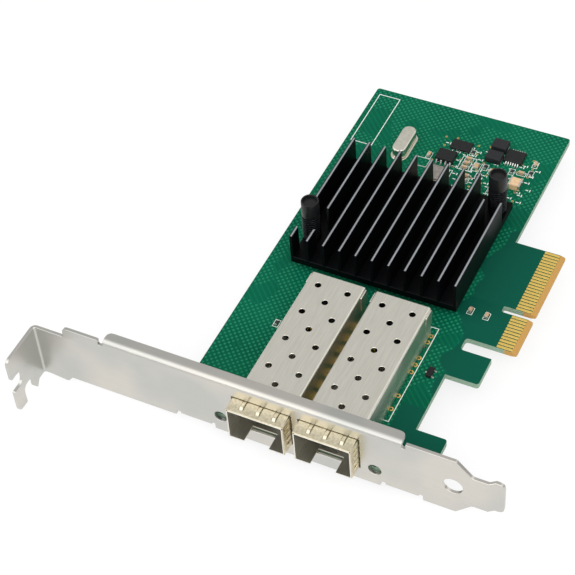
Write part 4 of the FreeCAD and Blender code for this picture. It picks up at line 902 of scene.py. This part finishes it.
for (x, y), end in zip(pins_at, ("front", "rear")):
    pin = carved(turned(pin_side), plate([rect(-0.3, 0.3, -3, 3)], -5, -0.9, 0.01))
    piece(end + "_pin_moulding", end + "_push_pin", "pin_black", moved(pin, x, y), nylon)
    helix = []
    for index in range(turns * around + 1):
        angle = 2 * pi * index / around
        height = wire_low + (wire_high - wire_low) * index / (turns * around)
        helix.append((x + wire_radius * cos(angle), y + wire_radius * sin(angle), height))
    wire = drawn_line([helix], "3D", False)
    wire.data.bevel_depth = wire_thick / 2 - 0.005
    wire.data.bevel_resolution = 2
    wire.data.use_fill_caps = True
    piece(end + "_coil_spring", end + "_pin_spring", "spring_steel", taken(wire), black_wire, smooth=60)


# -------- crystal can and clock oscillator
# The crystal hangs in a drawn nickel-silver can welded to a wider base rim. The clock oscillator
# beside it is a ceramic tub closed by a brazed metal lid.
def obround(x, y, length, width):
    """A long outline with round ends along Y."""
    radius, half = width / 2, (length - width) / 2
    return arc(x, y + half, radius, 0, 180, 14) + arc(x, y - half, radius, 180, 360, 14)


can_metal = grained("drawn_nickel_silver", "#D9D5C6", "#EAE7DA", 1.0, 4.0, Metallic=1.0, Roughness=0.3)
can_x, can_y = -52.8, 43.4
rim = plate([obround(can_x, can_y, 11.2, 4.7)], 0, 0.6, 0.08)
can = plate([obround(can_x, can_y, 10.3, 3.8)], 0.5, 3.5, 0.45, 4)
piece("crystal_in_can", "crystal_can", "can_metal", merged(rim, can), can_metal)

lid_metal = grained("brazed_kovar_lid", "#968F88", "#BBB5AE", 0.7, Metallic=1.0, Roughness=0.4)
tub = grained("pale_ceramic_tub", "#A8A193", "#C9C3B6", 0.35, depth=0.02, Roughness=0.6)
base = plate([rounded(rect(-43.3, -38.3, 33.85, 39.55), 0.3)], 0, 1.05, 0.06)
lid = plate([rounded(rect(-43.0, -38.6, 34.15, 39.25), 0.4)], 1.0, 1.5, 0.1, 2)
piece("oscillator_tub_and_lid", "clock_oscillator", "oscillator_metal",
      merged(base, tinted(lid, 1)), tub, lid_metal)


# -------- leaded chips
# The memory chip and the power controller are moulded in black epoxy over a copper frame, whose
# tinned gull-wing leads come out along two sides and are soldered to the board.
tinned = grained("solder_tinned_copper", "#C4C6C0", "#ECEBE6", 0.35, 2.0, 0.02, Metallic=1.0, Roughness=0.3)


def wing(edge, out, height, reach, thick=0.16):
    """Side view of one gull-wing lead in (distance from the middle, height)."""
    knee, toe = edge + out * reach / 2, edge + out * reach
    return [(edge, height), (knee, thick), (toe, thick), (toe, 0), (knee - out * thick, 0),
            (edge, height - thick)]


def centred_row(solid, count, pitch):
    """A tinned shape set out along X, as far to the left as to the right."""
    return moved(repeat(solid, tinned, columns=count, column_pitch=pitch), -pitch * (count - 1) / 2)


def leads(half, height, reach, width, count, pitch):
    """Two rows of leads along X, one down each side of a chip."""
    sides = [plate([wing(out * half, out, height, reach)], -width / 2, width / 2, 0.02) for out in (1, -1)]
    return merged(*[centred_row(stood(lead, "yzx"), count, pitch) for lead in sides])


def moulding(length, width, low, high):
    """A chip body with drafted sides and a dimple that marks its first lead."""
    body = plate([rect(-length / 2, length / 2, -width / 2, width / 2)], low, high, 0.16)
    dimple = plate([circle(-length / 2 + 0.75, -width / 2 + 0.75, 0.32, 16)], high - 0.06, high + 0.3, 0.01)
    return carved(body, dimple)


def soldered(name, node, body, metal, x, y, black=chip_black):
    """A black part with its tinned metal, at its place on the board."""
    piece(name, node, "chip_black", moved(merged(body, tinted(metal, 1)), x, y), black, tinned)


for name, node, x, y, length, width, height, count, pitch, lead_width in (
        ("memory", "flash_chip", -41.0, 43.8, 4.9, 3.9, 1.6, 4, 1.27, 0.42),
        ("power_controller", "power_controller_chip", -24.2, 50.3, 5.0, 4.4, 1.1, 6, 0.65, 0.26)):
    legs = leads(width / 2, height * 0.55, 1.05, lead_width, count, pitch)
    soldered(name + "_in_epoxy", node, moulding(length, width, 0.1, height), legs, x, y)


# -------- regulator, inductors and transistor
# The regulator is a flat no-lead chip, the two inductors are pressed iron-powder blocks over tinned
# end plates, and the small transistor stands on three leads.
pads = [centred_row(plate([rect(-0.16, 0.16, y - 0.2, y + 0.2)], 0, 0.22, 0.02), 7, 0.75)
        for y in (-1.56, 1.56)]
soldered("regulator_in_epoxy", "regulator_chip", moulding(5.5, 3.5, 0.02, 0.9), merged(*pads), -38.8, 49.3)

powder = grained("pressed_iron_powder", "#121315", "#292A2D", 0.17, 4.0, 0.03, Roughness=0.5,
                 Specular_IOR_Level=0.3)
block = plate([rounded(rect(-2.1, 2.1, -1.74, 1.74), 0.25)], 0.12, 1.9, 0.22, 2)
plates = merged(*[plate([rect(left, left + 0.35, -1.3, 1.3)], 0, 0.5, 0.03) for left in (-2.15, 1.8)])
choke_pitch = 4.6
blocks = repeat(block, powder, rows=2, row_pitch=choke_pitch)
end_plates = repeat(plates, tinned, rows=2, row_pitch=choke_pitch)
soldered("pressed_inductors", "power_inductors", blocks, end_plates, -29.1, 48.0, powder)

half = 0.725
body = plate([rect(-half, half, -1.45, 1.45)], 0.1, 0.966, 0.1)
legs = []
for out, y in ((1, -0.966), (1, 0.966), (-1, 0)):
    leg = plate([wing(out * half, out, 0.53, 0.525)], -0.22, 0.22, 0.02)
    legs.append(moved(stood(leg, "xzy"), 0, y))
soldered("three_lead_transistor", "transistor", body, merged(*legs), -16.6, -25.6)


# -------- chip capacitors and resistors
# Small surface-mount parts: fired ceramic blocks with silvered and tinned ends, soldered flat. The
# capacitors are tan or brown ceramic, the resistors carry a black printed film.
def chip_maker(body_material, end_material):
    """A node tree that builds one chip part and sets it out on points, turned by their turn."""
    tree, points, length, width, height, end = workshop(
        "chip_part", Length="Float", Width="Float", Height="Float", End_length="Float")
    sizes = ((length, 0.9), (width, 0.93), (height, 0.94))
    slimmer = {"in%d" % place: put(tree, "ShaderNodeMath", {"operation": "MULTIPLY"}, in0=size, in1=part)
               for place, (size, part) in enumerate(sizes)}
    body = put(tree, "GeometryNodeMeshCube", Size=put(tree, "ShaderNodeCombineXYZ", **slimmer))
    cap = put(tree, "GeometryNodeMeshCube",
              Size=put(tree, "ShaderNodeCombineXYZ", in0=end, in1=width, in2=height))
    marked = put(tree, "GeometryNodeStoreNamedAttribute", {"data_type": "BOOLEAN", "domain": "FACE"},
                 Geometry=cap, Name="end", Value=True)
    span = put(tree, "ShaderNodeMath", {"operation": "SUBTRACT"}, in0=length, in1=end)
    line = put(tree, "GeometryNodeMeshLine", Count=2, Offset=put(tree, "ShaderNodeCombineXYZ", in0=span),
               Start_Location=put(tree, "ShaderNodeCombineXYZ",
                                  in0=put(tree, "ShaderNodeMath", {"operation": "MULTIPLY"}, in0=span,
                                          in1=-0.5)))
    whole = joined(tree, put(tree, "GeometryNodeInstanceOnPoints", Points=line, Instance=marked), body)
    lift = put(tree, "ShaderNodeCombineXYZ",
               in2=put(tree, "ShaderNodeMath", {"operation": "MULTIPLY"}, in0=height, in1=0.5))
    raised = put(tree, "GeometryNodeTransform", Geometry=whole, Translation=lift)
    turn_of = put(tree, "ShaderNodeCombineXYZ", in2=put(tree, "GeometryNodeInputNamedAttribute", Name="turn"))
    real = spread(tree, points, raised, Rotation=turn_of)
    all_body = put(tree, "GeometryNodeSetMaterial", Geometry=real, Material=body_material)
    is_end = put(tree, "GeometryNodeInputNamedAttribute", {"data_type": "BOOLEAN"}, Name="end")
    return handed_over(tree, all_body, end_material, Selection=is_end)


def chips(places, body_material, end_material, length, width, height, end_length):
    """Chip parts of one size at (x, y, turn in degrees), as one shape with body and end materials."""
    points = bpy.data.meshes.new("places")
    points.from_pydata([(x, y, 0) for x, y, turn_by in places], [], [])
    turns = points.attributes.new("turn", "FLOAT", "POINT")
    for index, spot in enumerate(places):
        turns.data[index].value = radians(spot[2])
    materials = (body_material, end_material)
    whole = worked(placed("places", points), chip_maker(*materials), materials,
                   Length=length, Width=width, Height=height, End_length=end_length)
    return eased(whole, 0.05, 80)


ceramic = grained("fired_capacitor_ceramic", "#AD8B64", "#D0B18B", 0.25, depth=0.02, Roughness=0.5)
film = grained("printed_resistor_film", "#17181A", "#2D2E31", 0.25, 2.0, Roughness=0.35)
small_capacitors = chips(capacitors_at, ceramic, tinned, 1.6, 0.8, 0.85, 0.35)
large_capacitors = chips([(-32.4, 43.6, 90), (-27.6, 43.3, 0)], ceramic, tinned, 2.0, 1.25, 0.85, 0.4)
piece("ceramic_chip_capacitors", "chip_capacitors", "capacitor_ceramic",
      merged(small_capacitors, large_capacitors), ceramic, tinned)
resistors = chips(resistors_at, film, tinned, 1.6, 0.8, 0.45, 0.3)
piece("film_chip_resistors", "chip_resistors", "chip_black", resistors, film, tinned)
tan_ceramic = grained("tan_capacitor_ceramic", "#D0A97D", "#E7C7A1", 0.35, depth=0.02, Roughness=0.45)
output = chips([(-20.5, 40.7, 0)], tan_ceramic, tinned, 3.2, 3.2, 1.9, 0.5)
piece("ceramic_output_capacitor", "output_capacitor", "capacitor_ceramic", output, tan_ceramic, tinned)


# -------- status lights
# Two side-looking light-emitting diodes: small dark green mouldings soldered at the board's edge,
# each with an epoxy dome that looks out through the bracket.
case_dark = grained("dark_green_moulded_case", "#07190F", "#0C2418", 0.35, 2.0, Roughness=0.5,
                    Specular_IOR_Level=0.2)
dome_clear = grained("green_epoxy_dome", "#0A2014", "#123322", 1.0, 1.0, Roughness=0.1,
                     Specular_IOR_Level=0.4)
case_front = board_front + 0.2
case = plate([rounded(rect(-1, 1, case_front, case_front + 1.59), 0.15)], 0, 2, 0.08)
dome = turned([(0.7, -0.2), (0.7, 0.1), (0.62, 0.3), (0.4, 0.5), (0.2, 0.57), (0, 0.59)], 24)
bmesh.ops.contextual_create(dome, geom=[edge for edge in dome.edges if edge.is_boundary])
bmesh.ops.rotate(dome, verts=dome.verts, matrix=Matrix.Rotation(pi / 2, 3, "X"))
light = moved(merged(case, tinted(moved(dome, 0, case_front, 1.0), 1)), lights_at[0])
pair = merged(moved(light.copy(), lights_at[1] - lights_at[0]), light)
piece("status_light_pair", "status_leds", "lens", pair, case_dark, dome_clear)


# -------- camera, floor and light
# The card lies on a pale table, component side up, under large soft lamps; the camera looks
# down on its bracket from the front right.
card_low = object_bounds()[0]
azimuth, elevation, roll = radians(29.68), radians(47.62), radians(-5.35)
aim = Vector((-59.87, -13.76, 0)) * MM
distance = 0.44104
tilted = Matrix.Rotation(pi / 2 - elevation, 3, "X") @ Matrix.Rotation(roll, 3, "Z")
turn = Matrix.Rotation(azimuth, 3, "Z") @ tilted
lens = bpy.data.cameras.new("camera")
lens.lens = 111.1
lens.sensor_width = 36
lens.clip_start = 0.01
camera = placed("camera", lens)
camera.matrix_world = Matrix.Translation(aim + turn @ Vector((0, 0, distance))) @ turn.to_4x4()
bpy.context.scene.camera = camera

floor_mesh = bpy.data.meshes.new("table_top")
reach = 20.0
corners = [(x, y, 0) for x, y in rect(-reach, reach, -reach, reach)]
floor_mesh.from_pydata(corners, [], [(0, 1, 2, 3)])
floor = placed("table_top", floor_mesh)
floor.location.z = card_low[2] - 0.0002
paper, tree, shader, place = finish("white_paper", "#FFFFFF", Roughness=0.9, Specular_IOR_Level=0.0)
seen = put(tree, "ShaderNodeLightPath").outputs
any_seen = put(tree, "ShaderNodeMath", {"operation": "MAXIMUM"}, in0=seen["Is Camera Ray"],
               in1=seen["Is Glossy Ray"])
any_seen = put(tree, "ShaderNodeMath", {"operation": "MAXIMUM"}, in0=any_seen,
               in1=seen["Is Transmission Ray"])
glow = put(tree, "ShaderNodeEmission", Color=(1, 1, 1, 1), Strength=1.0)
part_glow = put(tree, "ShaderNodeMath", {"operation": "MULTIPLY"}, in0=any_seen, in1=0.8)
mixed = put(tree, "ShaderNodeMixShader", in0=part_glow, in1=shader.outputs[0], in2=glow)
feed(tree.nodes["Material Output"], Surface=mixed)
floor_mesh.materials.append(paper)

# A pale tent of light round the table, brightest in front, dark where it meets the horizon.
world = bpy.data.worlds.new("studio")
bpy.context.scene.world = world
world.use_nodes = True
tree = world.node_tree
ways = put(tree, "ShaderNodeSeparateXYZ", Vector=put(tree, "ShaderNodeTexCoord").outputs["Generated"]).outputs
front = put(tree, "ShaderNodeMapRange", in0=ways[1], in1=0.3, in2=-0.7, in3=0.64, in4=1.7)
above = put(tree, "ShaderNodeMapRange", in0=ways[2], in1=0.04, in2=0.3, in3=0.12, in4=1.0)
feed(tree.nodes["Background"], Color="#FFFFFF",
     Strength=put(tree, "ShaderNodeMath", {"operation": "MULTIPLY"}, in0=front, in1=above))

for name, spot, size, power in (
        ("key_softbox", (0.35, -0.5, 0.75), 0.5, 2.4),
        ("fill_softbox", (-0.7, -0.25, 0.6), 0.6, 0.8),
        ("back_softbox", (0.5, 0.6, 0.6), 0.6, 0.6)):
    lamp = bpy.data.lights.new(name, "AREA")
    lamp.shape = "SQUARE"
    lamp.size = size
    lamp.energy = power
    holder = placed(name, lamp)
    holder.location = spot
    holder.rotation_euler = (aim - Vector(spot)).to_track_quat("-Z", "Y").to_euler()

bpy.context.scene.view_settings.view_transform = "Standard"
